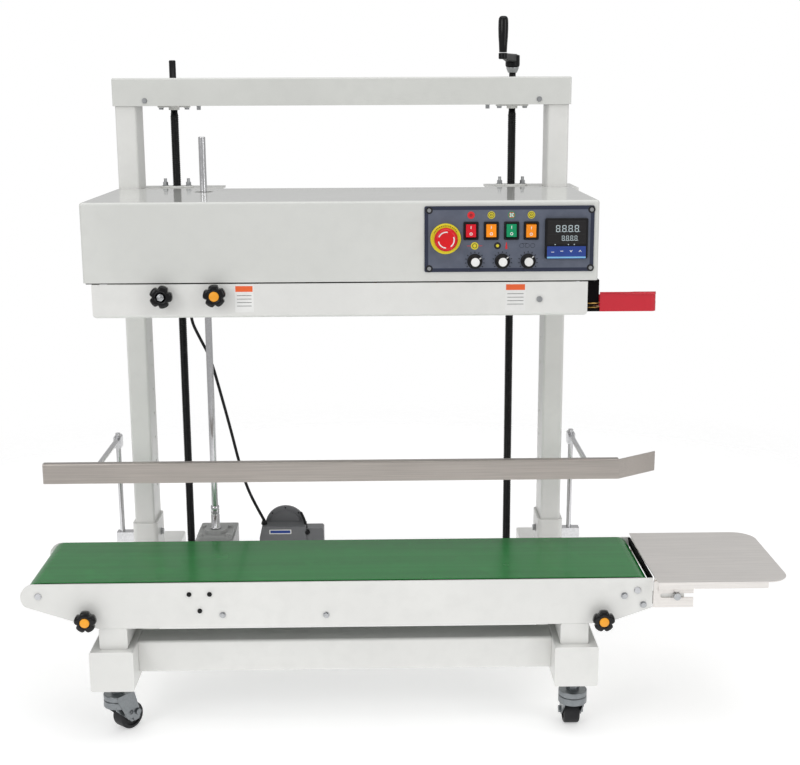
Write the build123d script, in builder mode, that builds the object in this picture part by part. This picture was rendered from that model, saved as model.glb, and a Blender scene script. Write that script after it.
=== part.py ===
"""Continuous band sealer: a vertical bag sealer on a castered stand with a belt conveyor.

Lengths are millimetres. Every place is given from the stand's datum: X = 0 midway between the
two columns, Y = 0 on the columns' front faces with +Y to the rear, Z = 0 on the floor.
spot() moves that datum so that the model's origin is under the middle of its outline.
"""
import os
from math import cos, pi, radians, sin, tan

from build123d import *

os.makedirs("parts", exist_ok=True)

# ---------------------------------------------------------------- driving dimensions
STAND_X, STAND_Y = -107.21, 65.0    # the datum's place in the model's frame
GAP = 0.2                            # open joint between separate pieces of one node
RUN = 0.05                           # radial running clearance of a turning shaft
SHEET = 2.5                          # sheet metal thickness of the covers

# base frame
LEG_X, LEG_WIDTH, LEG_BOTTOM, LEG_TOP, LEG_CORNER = 413.0, 78.0, 104.0, 179.0, 4.0
LEG_FRONT, LEG_REAR, LEG_WALL = -387.0, 276.0, 4.0
ARM_X, ARM_WIDTH, ARM_TOP = 410.0, 50.0, 217.8
CROSS_Y, CROSS_Z, CROSS_SIZE = -307.0, 148.0, 60.0
SHELF_HALF, SHELF_FRONT, SHELF_REAR, SHELF_TOP, SHELF_SKIRT = 387.5, -5.0, 140.0, 200.0, 20.0

# columns, sockets and top beam
COLUMN_X, COLUMN_WIDTH, COLUMN_DEPTH, COLUMN_WALL, COLUMN_TOP = 413.0, 40.0, 80.0, 3.0, 1168.5
SOCKET_WALL, SOCKET_TOP, COLUMN_CORNER = 4.8, 290.0, 5.0
HOLE_PITCH, HOLE_START, HOLE_COUNT, HOLE_Y = 50.0, 358.0, 8, 50.0
BEAM_HALF, BEAM_FRONT, BEAM_REAR, BEAM_BOTTOM, BEAM_TOP, BEAM_WALL = 436.5, -4.0, 106.0, 1120.0, 1172.0, 3.0

# lift screws, crank and drive shaft
SCREW_X, SCREW_Y, SCREW_R, JOURNAL_R = 330.0, 65.0, 8.0, 6.5
SCREW_BOTTOM, THREAD_BOTTOM, THREAD_TOP, STUB_TOP = 201.0, 219.0, 1107.0, 1206.0
SPROCKET_R, SPROCKET_Z, SPROCKET_H, CHAIN_T, BEARING_BOLT = 26.0, 1140.0, 7.0, 5.0, 25.0
GRIP_X, GRIP_Y, GRIP_BOTTOM, GRIP_TOP, GRIP_PIN_R = 304.5, -5.0, 1216.5, 1283.0, 4.0
ARM_HUB_BOTTOM, CRANK_BOTTOM, CRANK_TOP, HUB_R, END_R = 1190.0, 1200.0, 1216.0, 14.0, 8.5
SHAFT_X, SHAFT_Y, SHAFT_R, SHAFT_TOP = -259.0, -85.0, 6.5, 1065.0

# geared motor on the shelf and angle gearbox under the drive shaft
MOTOR_X, MOTOR_Z, MOTOR_R, MOTOR_FRONT, MOTOR_REAR = -130.0, 269.5, 26.0, 36.0, 82.0
RING_R, RING_T, BELL_R, TERMINAL_FRONT = 42.0, 7.0, 33.0, -2.0
GEARBOX_LEFT, GEARBOX_RIGHT, GEARBOX_BOTTOM, GEARBOX_TOP = -296.0, -222.0, 215.0, 291.0
FLANGE_SIZE, FLANGE_T, HOUSING_R, HOUSING_TOP, FLANGE_BOLT = 68.0, 8.0, 22.0, 306.0, 26.0

# sealing head
HEAD_LEFT, HEAD_RIGHT, HEAD_FRONT, HEAD_BOTTOM, HEAD_TOP = -439.0, 442.0, -326.0, 827.0, 964.0
LOWER_HALF, LOWER_REAR, LOWER_BOTTOM, LOWER_TOP = 425.0, -272.0, 766.0, 824.7
REAR_LIP_FRONT, REAR_LIP_BACK = -250.0, -190.0
FLOOR_BOTTOM, FLOOR_TOP = 825.0, 828.0
BRACKET_REAR, BRACKET_BOTTOM, BRACKET_TOP = 122.0, 958.0, 962.0
BAG_Y, BAND_T, BAND_BOTTOM, BAND_TOP = -261.0, 1.0, 780.0, 800.0
WHEEL_X, WHEEL_R, WHEEL_SHAFT_R = 330.0, 17.0, 4.0

# control panel
PANEL_X, PANEL_Z, PANEL_W, PANEL_H, PANEL_T = 288.5, 899.0, 289.0, 112.0, 2.0
SWITCHES = (223.0, 257.5, 292.0, 325.5)
SWITCH_Z, BEZEL_W, BEZEL_H, ROCKER_W, ROCKER_H, ROCKER_TILT = 913.0, 25.5, 31.0, 17.0, 23.0, 7.0
POTS, POT_Z, POT_R = (230.0, 277.0, 321.0), 861.0, 8.0
ESTOP_X, ESTOP_Z, ESTOP_R, COLLAR_R, ESTOP_STEM_R = 180.0, 900.0, 20.0, 26.0, 9.0
METER_X, METER_Z, METER_W, METER_H = 385.5, 899.5, 73.0, 69.0

# conveyor
CONV_FRONT, CONV_REAR, PLATE_T, CONV_TOP, CONV_BOTTOM = -373.0, -150.0, 3.0, 302.0, 218.0
DRIVE_X, IDLER_X, ROLLER_Z, ROLLER_R, AXLE_R = -538.0, 520.0, 280.0, 22.0, 6.0
BELT_T, BELT_FRONT, BELT_REAR = 1.5, -368.0, -155.0

# bag guide rail
POSTS, POST_Y, POST_R, POST_TOP = (-467.0, 457.0), 40.0, 5.0, 469.0
POST_BLOCK_BOTTOM, POST_BLOCK_TOP, POST_BLOCK_END = 240.0, 260.0, 478.0
RAIL_LEFT, RAIL_RIGHT, RAIL_Y, RAIL_BOTTOM, RAIL_TOP, RAIL_T = -548.0, 503.0, -250.0, 449.0, 486.0, 2.0
FLARE_OUT, FLARE_BACK, RAIL_RETURN, RAIL_HEM = 77.0, 53.0, 14.0, 6.0

# tray
TRAY_LEFT, TRAY_RIGHT, TRAY_FRONT, TRAY_REAR, TRAY_TOP, TRAY_T = 548.0, 784.0, -406.0, -140.0, 306.0, 1.5
TRAY_CORNER, TRAY_BOLT_Z, SLOT_Z, SLOT_START, SLOT_END, TRAY_BOLT_X = 41.0, 280.5, 269.0, 566.0, 620.0, 590.0
LUG_START, LUG_END, LUG_T, LUG_BOTTOM, LUG_TOP = 544.6, 604.0, 5.0, 253.0, 275.0

# knobs and casters
KNOB_R, NOTCH_R, KNOB_LOBES, KNOB_H, KNOB_STAND, KNOB_STEM_R, CAP_R = 19.7, 4.2, 5, 14.0, 14.0, 4.0, 8.6
COVER_KNOBS = ((-304.0, 806.0), (-213.5, 807.0))
CONVEYOR_KNOBS = ((-453.0, 240.0), (458.0, 231.0))
CASTER_R, CASTER_W, TRAIL, FORK_INNER, FORK_T, RING_RADIUS = 25.0, 29.0, 21.0, 16.0, 2.5, 26.0
BRAKED_CASTER = "front_left"
BRAKE_PLATE = ((-27.0, 80.0), (15.0, 80.0), (24.5, 46.0), (24.5, 37.0), (17.0, 30.0), (-0.7, 29.0))
BRAKE_FACE, BRAKE_T, BRAKE_PIN, BRAKE_PIN_R, BRAKE_HOLE, BRAKE_HOLE_R = 26.4, 2.0, (20.5, 38.5), 3.5, (6.0, 42.0), 4.5
CASTERS = {
    "front_left": (-417.0, -327.0, 50.0),
    "front_right": (415.0, -335.0, 90.0),
    "rear_left": (-LEG_X, 222.0, 70.0),
    "rear_right": (LEG_X, 222.0, 115.0),
}

# cable from the head to the motor, as the corners of its route
CABLE_R = 3.0
CABLE_ROUTE = (
    (-300.0, 18.3, 776.0), (-301.0, 37.0, 775.0), (-308.0, 47.0, 748.0), (-311.5, 46.0, 702.0),
    (-294.0, 45.0, 663.0), (-274.0, 43.0, 624.0), (-253.0, 39.0, 541.0), (-236.5, 34.0, 474.5),
    (-221.5, 28.0, 409.0), (-206.5, 23.0, 357.0), (-188.0, 19.0, 317.0), (-172.5, 18.0, 287.2),
)

BASE = (Align.CENTER, Align.CENTER, Align.MIN)
FRONTWARD, REARWARD, RIGHTWARD = (0, -1, 0), (0, 1, 0), (1, 0, 0)


# ---------------------------------------------------------------- helpers
def spot(x, y, z):
    """The model's point for a place given from the stand's datum."""
    return (x + STAND_X, y + STAND_Y, z)


def front_plane(y, x=0.0, z=0.0):
    """Upright plane that faces the front, with its own x along X and its own y along Z."""
    return Plane(origin=spot(x, y, z), x_dir=(1, 0, 0), z_dir=FRONTWARD)


def side_plane(x):
    """Upright plane that faces the right, with its own x along Y and its own y along Z."""
    return Plane(origin=spot(x, 0, 0), x_dir=(0, 1, 0), z_dir=RIGHTWARD)


def level(z):
    """Level plane at a height, with the datum's own X and Y."""
    return Plane(origin=spot(0, 0, z), x_dir=(1, 0, 0), z_dir=(0, 0, 1))


def block(x0, x1, y0, y1, z0, z1, mode=Mode.ADD):
    """Box between two opposite corners."""
    with Locations(spot((x0 + x1) / 2, (y0 + y1) / 2, (z0 + z1) / 2)):
        Box(x1 - x0, y1 - y0, z1 - z0, mode=mode)


def rod(x, y, z, radius, length, way=(0, 0, 1), mode=Mode.ADD):
    """Cylinder that starts at a point and runs along a direction."""
    with Locations(Plane(origin=spot(x, y, z), z_dir=way)):
        Cylinder(radius, length, align=BASE, mode=mode)


def tube(plane, width, height, wall, corner, length):
    """Rounded rectangular tube, open at both ends."""
    with BuildSketch(plane) as section:
        RectangleRounded(width, height, corner)
        RectangleRounded(width - 2 * wall, height - 2 * wall, max(corner - wall, 0.6), mode=Mode.SUBTRACT)
    extrude(section.sketch, amount=length)


def bolt(x, y, z, radius, height, way):
    """Hexagon bolt head on a washer, standing on a surface."""
    rod(x, y, z, radius * 1.25, 0.8, way)
    with BuildSketch(Plane(origin=spot(x, y, z), z_dir=way)) as head:
        RegularPolygon(radius, 6)
    extrude(head.sketch, amount=height)


def save(build, name):
    """Labels a finished sub-part and writes it to its own file."""
    build.part.label = name
    export_step(build.part, f"parts/{name}.step")


# ---------------------------------------------------------------- stand
def leg(x):
    """Hollow foot beam with closed ends and two drain holes underneath."""
    middle = (LEG_BOTTOM + LEG_TOP) / 2
    start = Plane(origin=spot(x, LEG_FRONT, middle), x_dir=(1, 0, 0), z_dir=REARWARD)
    tube(start, LEG_WIDTH, LEG_TOP - LEG_BOTTOM, LEG_WALL, LEG_CORNER, LEG_REAR - LEG_FRONT)
    half, inset = LEG_WIDTH / 2 - 3.0, 3.0
    for y in (LEG_FRONT, LEG_REAR - LEG_WALL):
        block(x - half, x + half, y, y + LEG_WALL, LEG_BOTTOM + inset, LEG_TOP - inset)
    for y in (-180.0, 90.0):
        rod(x, y, LEG_BOTTOM - 1, 12.0, LEG_WALL + 2, mode=Mode.SUBTRACT)


with BuildPart() as base_frame:
    for side in (-1, 1):
        leg(side * LEG_X)
        arm_start = Plane(
            origin=spot(side * ARM_X, CONV_FRONT, (LEG_TOP + GAP + ARM_TOP) / 2),
            x_dir=(1, 0, 0), z_dir=REARWARD,
        )
        tube(arm_start, ARM_WIDTH, ARM_TOP - LEG_TOP - GAP, 3.0, 3.5, CONV_REAR - CONV_FRONT)
        arm_half = ARM_WIDTH / 2 - 1.5
        block(side * ARM_X - arm_half, side * ARM_X + arm_half,
              CONV_FRONT, CONV_FRONT + 3, LEG_TOP + 2, ARM_TOP - 2)
    cross_half = LEG_X - LEG_WIDTH / 2 - GAP
    cross_start = Plane(origin=spot(-cross_half, CROSS_Y, CROSS_Z), x_dir=(0, 1, 0), z_dir=RIGHTWARD)
    tube(cross_start, CROSS_SIZE, CROSS_SIZE, 3.0, 5.0, 2 * cross_half)
    for side in (-1, 1):
        foot = Plane(origin=spot(side * COLUMN_X, COLUMN_DEPTH / 2, LEG_TOP + GAP), z_dir=(0, 0, 1))
        width = COLUMN_WIDTH + 2 * (SOCKET_WALL + GAP)
        depth = COLUMN_DEPTH + 2 * (SOCKET_WALL + GAP)
        tube(foot, width, depth, SOCKET_WALL, COLUMN_CORNER + SOCKET_WALL, SOCKET_TOP - LEG_TOP - GAP)
save(base_frame, "base_frame")

with BuildPart() as drive_shelf:
    block(-SHELF_HALF, SHELF_HALF, SHELF_FRONT, SHELF_REAR, SHELF_TOP - 4, SHELF_TOP)
    for y in (SHELF_FRONT, SHELF_REAR - 3):
        block(-SHELF_HALF, SHELF_HALF, y, y + 3, SHELF_TOP - SHELF_SKIRT, SHELF_TOP)
    for side in (-1, 1):
        edge = side * (SHELF_HALF - 1.5)
        block(edge - 1.5, edge + 1.5, SHELF_FRONT, SHELF_REAR, SHELF_TOP - SHELF_SKIRT, SHELF_TOP)
    top_edges = drive_shelf.edges().filter_by(Axis.X).group_by(Axis.Z)[-1]
    fillet([top_edges.sort_by(Axis.Y)[0], top_edges.sort_by(Axis.Y)[-1]], radius=2.5)
save(drive_shelf, "drive_shelf")

with BuildPart() as columns:
    for side in (-1, 1):
        foot = Plane(origin=spot(side * COLUMN_X, COLUMN_DEPTH / 2, LEG_TOP + GAP), z_dir=(0, 0, 1))
        tube(foot, COLUMN_WIDTH, COLUMN_DEPTH, COLUMN_WALL, COLUMN_CORNER, COLUMN_TOP - LEG_TOP - GAP)
        inner_face = side * (COLUMN_X - COLUMN_WIDTH / 2 - 1)
        for step in range(HOLE_COUNT):
            z = HOLE_START + step * HOLE_PITCH
            rod(inner_face, HOLE_Y, z, 3.5, COLUMN_WALL + 2, (side, 0, 0), Mode.SUBTRACT)
save(columns, "columns")

with BuildPart() as top_beam:
    block(-BEAM_HALF, BEAM_HALF, BEAM_FRONT, BEAM_REAR, BEAM_BOTTOM, BEAM_TOP)
    crown = top_beam.faces().sort_by(Axis.Z)[-1].edges()
    corners = top_beam.edges().filter_by(Axis.Z)
    fillet(crown + corners, radius=3.5)
    offset(amount=-BEAM_WALL, openings=top_beam.faces().sort_by(Axis.Z)[0])
    for side in (-1, 1):
        rod(side * SCREW_X, SCREW_Y, BEAM_TOP - 10, JOURNAL_R + 1, 20, mode=Mode.SUBTRACT)
    floor_half = COLUMN_X - COLUMN_WIDTH / 2 - 2
    block(-floor_half, floor_half, BEAM_FRONT + BEAM_WALL + GAP, BEAM_REAR - BEAM_WALL - GAP,
          BEAM_BOTTOM, BEAM_BOTTOM + 3)
    for side in (-1, 1):
        rod(side * SCREW_X, SCREW_Y, BEAM_BOTTOM - 5, JOURNAL_R + 2, 12, mode=Mode.SUBTRACT)
save(top_beam, "top_beam")


def flange_bearing(x, y, z, way, along, thickness, housing_r, housing_h):
    """Oval two-bolt flange with a raised round housing, standing on a surface, its bolts in a line along."""
    bore = JOURNAL_R + RUN
    with BuildSketch(Plane(origin=spot(x, y, z), x_dir=along, z_dir=way)) as flange:
        Circle(19.0)
        with Locations((-BEARING_BOLT, 0), (BEARING_BOLT, 0)):
            Circle(7.0)
        make_hull()
        Circle(bore, mode=Mode.SUBTRACT)
    extrude(flange.sketch, amount=thickness)
    with BuildSketch(Plane(origin=spot(x, y, z), x_dir=along, z_dir=way)) as housing:
        Circle(housing_r)
        Circle(bore, mode=Mode.SUBTRACT)
    extrude(housing.sketch, amount=housing_h)


with BuildPart() as screw_bearings:
    for side in (-1, 1):
        under_beam, on_shelf = BEAM_BOTTOM - GAP / 2, SHELF_TOP + GAP / 2
        flange_bearing(side * SCREW_X, SCREW_Y, under_beam, (0, 0, -1), RIGHTWARD, 3.0, 10.5, 8.0)
        flange_bearing(side * SCREW_X, SCREW_Y, on_shelf, (0, 0, 1), REARWARD, 5.0, 15.0, 12.0)
save(screw_bearings, "screw_bearings")

with BuildPart() as screw_chain:
    with BuildSketch(level(SPROCKET_Z + 1)) as loop:
        inner = SPROCKET_R + 0.3
        with Locations((0, SCREW_Y)):
            SlotCenterToCenter(2 * SCREW_X, 2 * (inner + CHAIN_T))
            SlotCenterToCenter(2 * SCREW_X, 2 * inner, mode=Mode.SUBTRACT)
    extrude(loop.sketch, amount=SPROCKET_H - 2)
save(screw_chain, "screw_chain")

# Geared motor on the shelf, its axis towards the front, with a terminal box and a smaller box in front of it.
with BuildPart() as gear_motor:
    rod(MOTOR_X, MOTOR_REAR, MOTOR_Z, MOTOR_R, MOTOR_REAR - MOTOR_FRONT, FRONTWARD)
    rod(MOTOR_X, MOTOR_FRONT + RING_T, MOTOR_Z, RING_R, RING_T, FRONTWARD)
    rod(MOTOR_X, MOTOR_FRONT, MOTOR_Z, BELL_R, 3.0, FRONTWARD)
    for angle in (45, 90, 135, 0, 180):
        hole_x = MOTOR_X + (RING_R - 4) * cos(radians(angle))
        hole_z = MOTOR_Z + (RING_R - 4) * sin(radians(angle))
        rod(hole_x, MOTOR_FRONT - 1, hole_z, 1.8, 6.0, REARWARD, Mode.SUBTRACT)
    block(MOTOR_X - 30, MOTOR_X + 30, MOTOR_FRONT + RING_T, MOTOR_REAR - 6, SHELF_TOP + GAP, MOTOR_Z - 20)
    with BuildSketch(front_plane(MOTOR_FRONT - 2)) as terminal_box:
        with BuildLine():
            Polyline((-181, SHELF_TOP + GAP), (-86, SHELF_TOP + GAP), (-86, 279), (-176, 279), (-181, 256),
                     close=True)
        make_face()
    extrude(terminal_box.sketch, amount=MOTOR_FRONT - 2 - TERMINAL_FRONT)
    with BuildSketch(front_plane(MOTOR_FRONT - 2)) as side_box:
        with BuildLine():
            Polyline((-86, SHELF_TOP + GAP), (-50, SHELF_TOP + GAP), (-50, 274), (-86, 274), close=True)
        make_face()
        fillet(side_box.vertices().group_by(Axis.X)[-1].sort_by(Axis.Y)[-1], radius=5.0)
    extrude(side_box.sketch, amount=MOTOR_FRONT - 4)
    rod(CABLE_ROUTE[-1][0], CABLE_ROUTE[-1][1], 274.0, 4.6, 12.4)
save(gear_motor, "gear_motor")

# Angle gearbox behind the conveyor, with the square flange bearing that the drive shaft stands in.
with BuildPart() as angle_gearbox:
    block(GEARBOX_LEFT, GEARBOX_RIGHT, CONV_REAR + GAP, SHELF_FRONT - GAP, GEARBOX_BOTTOM, GEARBOX_TOP)
    fillet(angle_gearbox.edges().filter_by(Axis.Z), radius=5.0)
    with BuildSketch(level(GEARBOX_TOP)) as square:
        with Locations((SHAFT_X, SHAFT_Y)):
            RectangleRounded(FLANGE_SIZE, FLANGE_SIZE, 10.0)
    extrude(square.sketch, amount=FLANGE_T)
    rod(SHAFT_X, SHAFT_Y, GEARBOX_TOP, HOUSING_R, HOUSING_TOP - GEARBOX_TOP)
    rod(SHAFT_X, SHAFT_Y, GEARBOX_TOP - 20, SHAFT_R + RUN, 60, mode=Mode.SUBTRACT)
    for across in (-FLANGE_BOLT, FLANGE_BOLT):
        for along in (-FLANGE_BOLT, FLANGE_BOLT):
            bolt(SHAFT_X + across, SHAFT_Y + along, GEARBOX_TOP + FLANGE_T, 4.5, 4.5, (0, 0, 1))
save(angle_gearbox, "angle_gearbox")


def cable_radii(points):
    """The largest bend at each corner of the cable's route."""
    radii = []
    for before, corner, after in zip(points, points[1:], points[2:]):
        first, second = corner - before, after - corner
        turn = radians(first.get_angle(second))
        radii.append(0.45 * min(first.length, second.length) / tan(turn / 2))
    return radii


cable_points = [Vector(*spot(*point)) for point in CABLE_ROUTE]
bends = cable_radii(cable_points)
print("cable bend radii", [round(bend, 1) for bend in bends])
with BuildPart() as motor_cable:
    with BuildLine() as cable_path:
        FilletPolyline(*cable_points, radius=bends)
    with BuildSketch(Plane(origin=cable_points[0], z_dir=cable_path.line % 0)):
        Circle(CABLE_R)
    sweep()
cable_length = sum(edge.length for edge in cable_path.edges())
print("cable length", round(cable_length, 1), "volume over section times length",
      round(motor_cable.part.volume / (pi * CABLE_R ** 2 * cable_length), 4))
save(motor_cable, "motor_cable")


# ---------------------------------------------------------------- conveyor
def side_plate(rear_y):
    """Conveyor side plate: a long outline with slanted ends and a round nose at the left."""
    with BuildSketch(front_plane(rear_y)) as outline:
        with BuildLine():
            Polyline((-543, CONV_TOP), (547, CONV_TOP), (547, 247), (485, 225), (439, CONV_BOTTOM),
                     (-436, CONV_BOTTOM), (-562, 260))
            ThreePointArc((-562, 260), (-569, 283), (-543, CONV_TOP))
        make_face()
        with Locations((DRIVE_X, ROLLER_Z), (IDLER_X, ROLLER_Z)):
            Circle(AXLE_R + RUN, mode=Mode.SUBTRACT)
    extrude(outline.sketch, amount=PLATE_T)


with BuildPart() as conveyor_front_plate:
    side_plate(CONV_FRONT + PLATE_T)
    for x, z in CONVEYOR_KNOBS:
        rod(x, CONV_FRONT - 1, z, KNOB_STEM_R + RUN, PLATE_T + 2, REARWARD, Mode.SUBTRACT)
    block(LUG_START, LUG_END, CONV_FRONT + PLATE_T, CONV_FRONT + PLATE_T + LUG_T, LUG_BOTTOM, LUG_TOP)
    rod(TRAY_BOLT_X, CONV_FRONT, SLOT_Z, 3.2, 12.0, REARWARD, Mode.SUBTRACT)
save(conveyor_front_plate, "conveyor_front_plate")

with BuildPart() as conveyor_rear_plate:
    side_plate(CONV_REAR)
    block(LUG_START, LUG_END, CONV_REAR - PLATE_T - LUG_T, CONV_REAR - PLATE_T, LUG_BOTTOM, LUG_TOP)
    rod(TRAY_BOLT_X, CONV_REAR - 12, SLOT_Z, 3.2, 12.0, REARWARD, Mode.SUBTRACT)
save(conveyor_rear_plate, "conveyor_rear_plate")

BED_FRONT, BED_REAR = CONV_FRONT + PLATE_T + GAP, CONV_REAR - PLATE_T - GAP
BED_LEFT, BED_RIGHT, BED_BOTTOM, BED_TOP, BED_WALL = -512.0, 494.0, 299.0, 301.8, 1.5
with BuildPart() as slider_bed:
    block(BED_LEFT, BED_RIGHT, BED_FRONT, BED_REAR, BED_BOTTOM, BED_TOP)
    for y in (BED_FRONT, BED_REAR - BED_WALL):
        block(BED_LEFT, BED_RIGHT, y, y + BED_WALL, 262.0, BED_BOTTOM - GAP)
    for x in (-320.0, 0.0, 320.0):
        rod(x, BED_FRONT + BED_WALL + GAP, 288.0, 8.0, BED_REAR - BED_FRONT - 2 * (BED_WALL + GAP), REARWARD)
save(slider_bed, "slider_bed")

with BuildPart() as conveyor_belt:
    with BuildSketch(front_plane(BELT_REAR, (DRIVE_X + IDLER_X) / 2, ROLLER_Z)) as loop:
        inner = ROLLER_R + 0.3
        SlotCenterToCenter(IDLER_X - DRIVE_X, 2 * (inner + BELT_T))
        SlotCenterToCenter(IDLER_X - DRIVE_X, 2 * inner, mode=Mode.SUBTRACT)
    extrude(loop.sketch, amount=BELT_REAR - BELT_FRONT)
save(conveyor_belt, "conveyor_belt")


def roller(x, name):
    """Turning drum with a stub axle at each end."""
    with BuildPart() as drum:
        rod(x, BELT_REAR - 1.0, ROLLER_Z, ROLLER_R, BELT_REAR - BELT_FRONT - 2.0, FRONTWARD)
        rod(x, CONV_REAR + 3, ROLLER_Z, AXLE_R, CONV_REAR - CONV_FRONT + 6, FRONTWARD)
        tips = drum.edges().filter_by(GeomType.CIRCLE).sort_by(Axis.Y)
        chamfer([tips[0], tips[-1]], length=1.0)
    save(drum, name)


roller(DRIVE_X, "drive_roller")
roller(IDLER_X, "idler_roller")

PLATE_BOLTS = (
    (497.0, 270.0, 5.0), (531.0, 253.0, 5.0), (-273.0, 281.0, 3.4), (-237.0, 281.0, 3.4),
    (-255.0, 250.0, 3.4), (-215.0, 242.0, 4.5), (-32.0, 240.0, 4.5),
)
with BuildPart() as stand_bolts:
    for x, z, size in PLATE_BOLTS:
        bolt(x, CONV_FRONT - GAP, z, size, 4.0, FRONTWARD)
        if not GEARBOX_LEFT < x < GEARBOX_RIGHT + 12:
            bolt(x, CONV_REAR + GAP, z, size, 4.0, REARWARD)
    for side in (-1, 1):
        bolt(side * 375.0, BEAM_FRONT - GAP, 1130.0, 4.0, 3.0, FRONTWARD)
        inner_wall = side * (COLUMN_X - COLUMN_WIDTH / 2 - SOCKET_WALL - 2 * GAP)
        bolt(inner_wall, 40.0, 259.0, 6.5, 6.0, (-side, 0, 0))
        bolt(side * 282.0, SCREW_Y, BEAM_BOTTOM - GAP, 4.0, 8.0, (0, 0, -1))
        for shift in (-BEARING_BOLT, BEARING_BOLT):
            bolt(side * SCREW_X + shift, SCREW_Y, BEAM_BOTTOM - 3 - 2 * GAP, 4.5, 4.0, (0, 0, -1))
            bolt(side * SCREW_X, SCREW_Y + shift, SHELF_TOP + 5 + 2 * GAP, 4.5, 4.0, (0, 0, 1))
    for y, length in ((CONV_FRONT - 3.4, 13.0), (CONV_REAR + 3.4 - 13.0, 13.0)):
        rod(TRAY_BOLT_X, y, SLOT_Z, 3.0, length, REARWARD)
    rod(TRAY_BOLT_X, CONV_FRONT - 7.4, SLOT_Z, 6.5, 4.0, REARWARD)
    rod(TRAY_BOLT_X, CONV_REAR + 3.4, SLOT_Z, 6.5, 4.0, REARWARD)
save(stand_bolts, "stand_bolts")


def star_knob(x, z, plate_y, has_cap, first_lobe, name):
    """Five-lobed clamping knob with a threaded stem and a round cap or an open nut."""
    face = plate_y - KNOB_STAND
    with BuildPart() as knob:
        with BuildSketch(front_plane(face, x, z)) as lobes:
            Circle(KNOB_R)
            with PolarLocations(KNOB_R, KNOB_LOBES, start_angle=first_lobe + 180 / KNOB_LOBES):
                Circle(NOTCH_R, mode=Mode.SUBTRACT)
            fillet(lobes.vertices(), radius=2.5)
        extrude(lobes.sketch, amount=KNOB_H)
        rim = knob.edges().group_by(Axis.Y)[0]
        chamfer(rim, length=1.6)
        rod(x, plate_y - 0.5, z, 10.0, KNOB_STAND - 0.5, FRONTWARD)
        rod(x, plate_y + 8, z, KNOB_STEM_R, 8 + KNOB_STAND, FRONTWARD)
        rod(x, face - KNOB_H, z, CAP_R + GAP, 2.0, REARWARD, Mode.SUBTRACT)
        if has_cap:
            rod(x, face - KNOB_H + 2.0 - GAP, z, CAP_R, 2.6, FRONTWARD)
        else:
            bolt(x, face - KNOB_H + 2.0 - GAP, z, 6.0, 3.0, FRONTWARD)
    save(knob, name)


star_knob(*CONVEYOR_KNOBS[0], CONV_FRONT, True, 90, "conveyor_knob_left")
star_knob(*CONVEYOR_KNOBS[1], CONV_FRONT, True, 90, "conveyor_knob_right")
star_knob(*COVER_KNOBS[0], HEAD_FRONT, False, 0, "cover_knob_left")
star_knob(*COVER_KNOBS[1], HEAD_FRONT, True, 95, "cover_knob_right")


# ---------------------------------------------------------------- tray
def tray_bracket(plate_y):
    """Slotted bracket, open at its right end, that hangs the tray on one conveyor bolt."""
    with BuildSketch(front_plane(plate_y + PLATE_T)) as outline:
        with BuildLine():
            Polyline((548.5, 247), (SLOT_END, 247), (SLOT_END, 285), (605, 296), (548.5, 296), close=True)
        make_face()
        with Locations(((SLOT_START + SLOT_END + 8) / 2, SLOT_Z)):
            SlotOverall(SLOT_END + 8 - SLOT_START + 10, 8.0, mode=Mode.SUBTRACT)
    extrude(outline.sketch, amount=PLATE_T)


with BuildPart() as tray:
    with BuildSketch(level(TRAY_TOP - TRAY_T)) as sheet_outline:
        with BuildLine():
            Polyline((TRAY_LEFT, TRAY_REAR), (TRAY_RIGHT, TRAY_REAR), (TRAY_RIGHT, TRAY_FRONT),
                     (TRAY_LEFT + 2, TRAY_FRONT))
            ThreePointArc((TRAY_LEFT + 2, TRAY_FRONT), (TRAY_LEFT - 1, -273), (TRAY_LEFT, TRAY_REAR))
        make_face()
        right_corners = sheet_outline.vertices().group_by(Axis.X)[-1]
        fillet(right_corners, radius=TRAY_CORNER)
    extrude(sheet_outline.sketch, amount=TRAY_T)
    lip_end = TRAY_RIGHT - TRAY_CORNER
    block(TRAY_LEFT + 2, lip_end, TRAY_FRONT, TRAY_FRONT + TRAY_T, TRAY_TOP - 12, TRAY_TOP - 0.5)
    inside = CONV_FRONT + PLATE_T
    for y0, y1 in ((inside + GAP, inside + 2), (BELT_REAR, CONV_REAR - PLATE_T - GAP)):
        block(550.0, 616.0, y0, y1, 277.0, TRAY_TOP - 0.5)
    tray_bracket(CONV_FRONT)
    tray_bracket(CONV_REAR - PLATE_T)
    for x in (561.0, 589.0):
        bolt(x, CONV_FRONT - GAP, TRAY_BOLT_Z, 4.5, 3.5, FRONTWARD)
        bolt(x, CONV_REAR + GAP, TRAY_BOLT_Z, 4.5, 3.5, REARWARD)
save(tray, "tray")

# ---------------------------------------------------------------- bag guide rail
with BuildPart() as rail_posts:
    for post_x in POSTS:
        side = 1 if post_x > 0 else -1
        socket_face = COLUMN_X + COLUMN_WIDTH / 2 + SOCKET_WALL + 2 * GAP
        x0, x1 = sorted((side * socket_face, side * POST_BLOCK_END))
        block(x0, x1, POST_Y - 10, POST_Y + 10, POST_BLOCK_BOTTOM, POST_BLOCK_TOP)
        rod(post_x, POST_Y, POST_BLOCK_TOP, POST_R, POST_TOP - POST_BLOCK_TOP)
save(rail_posts, "rail_posts")

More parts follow.
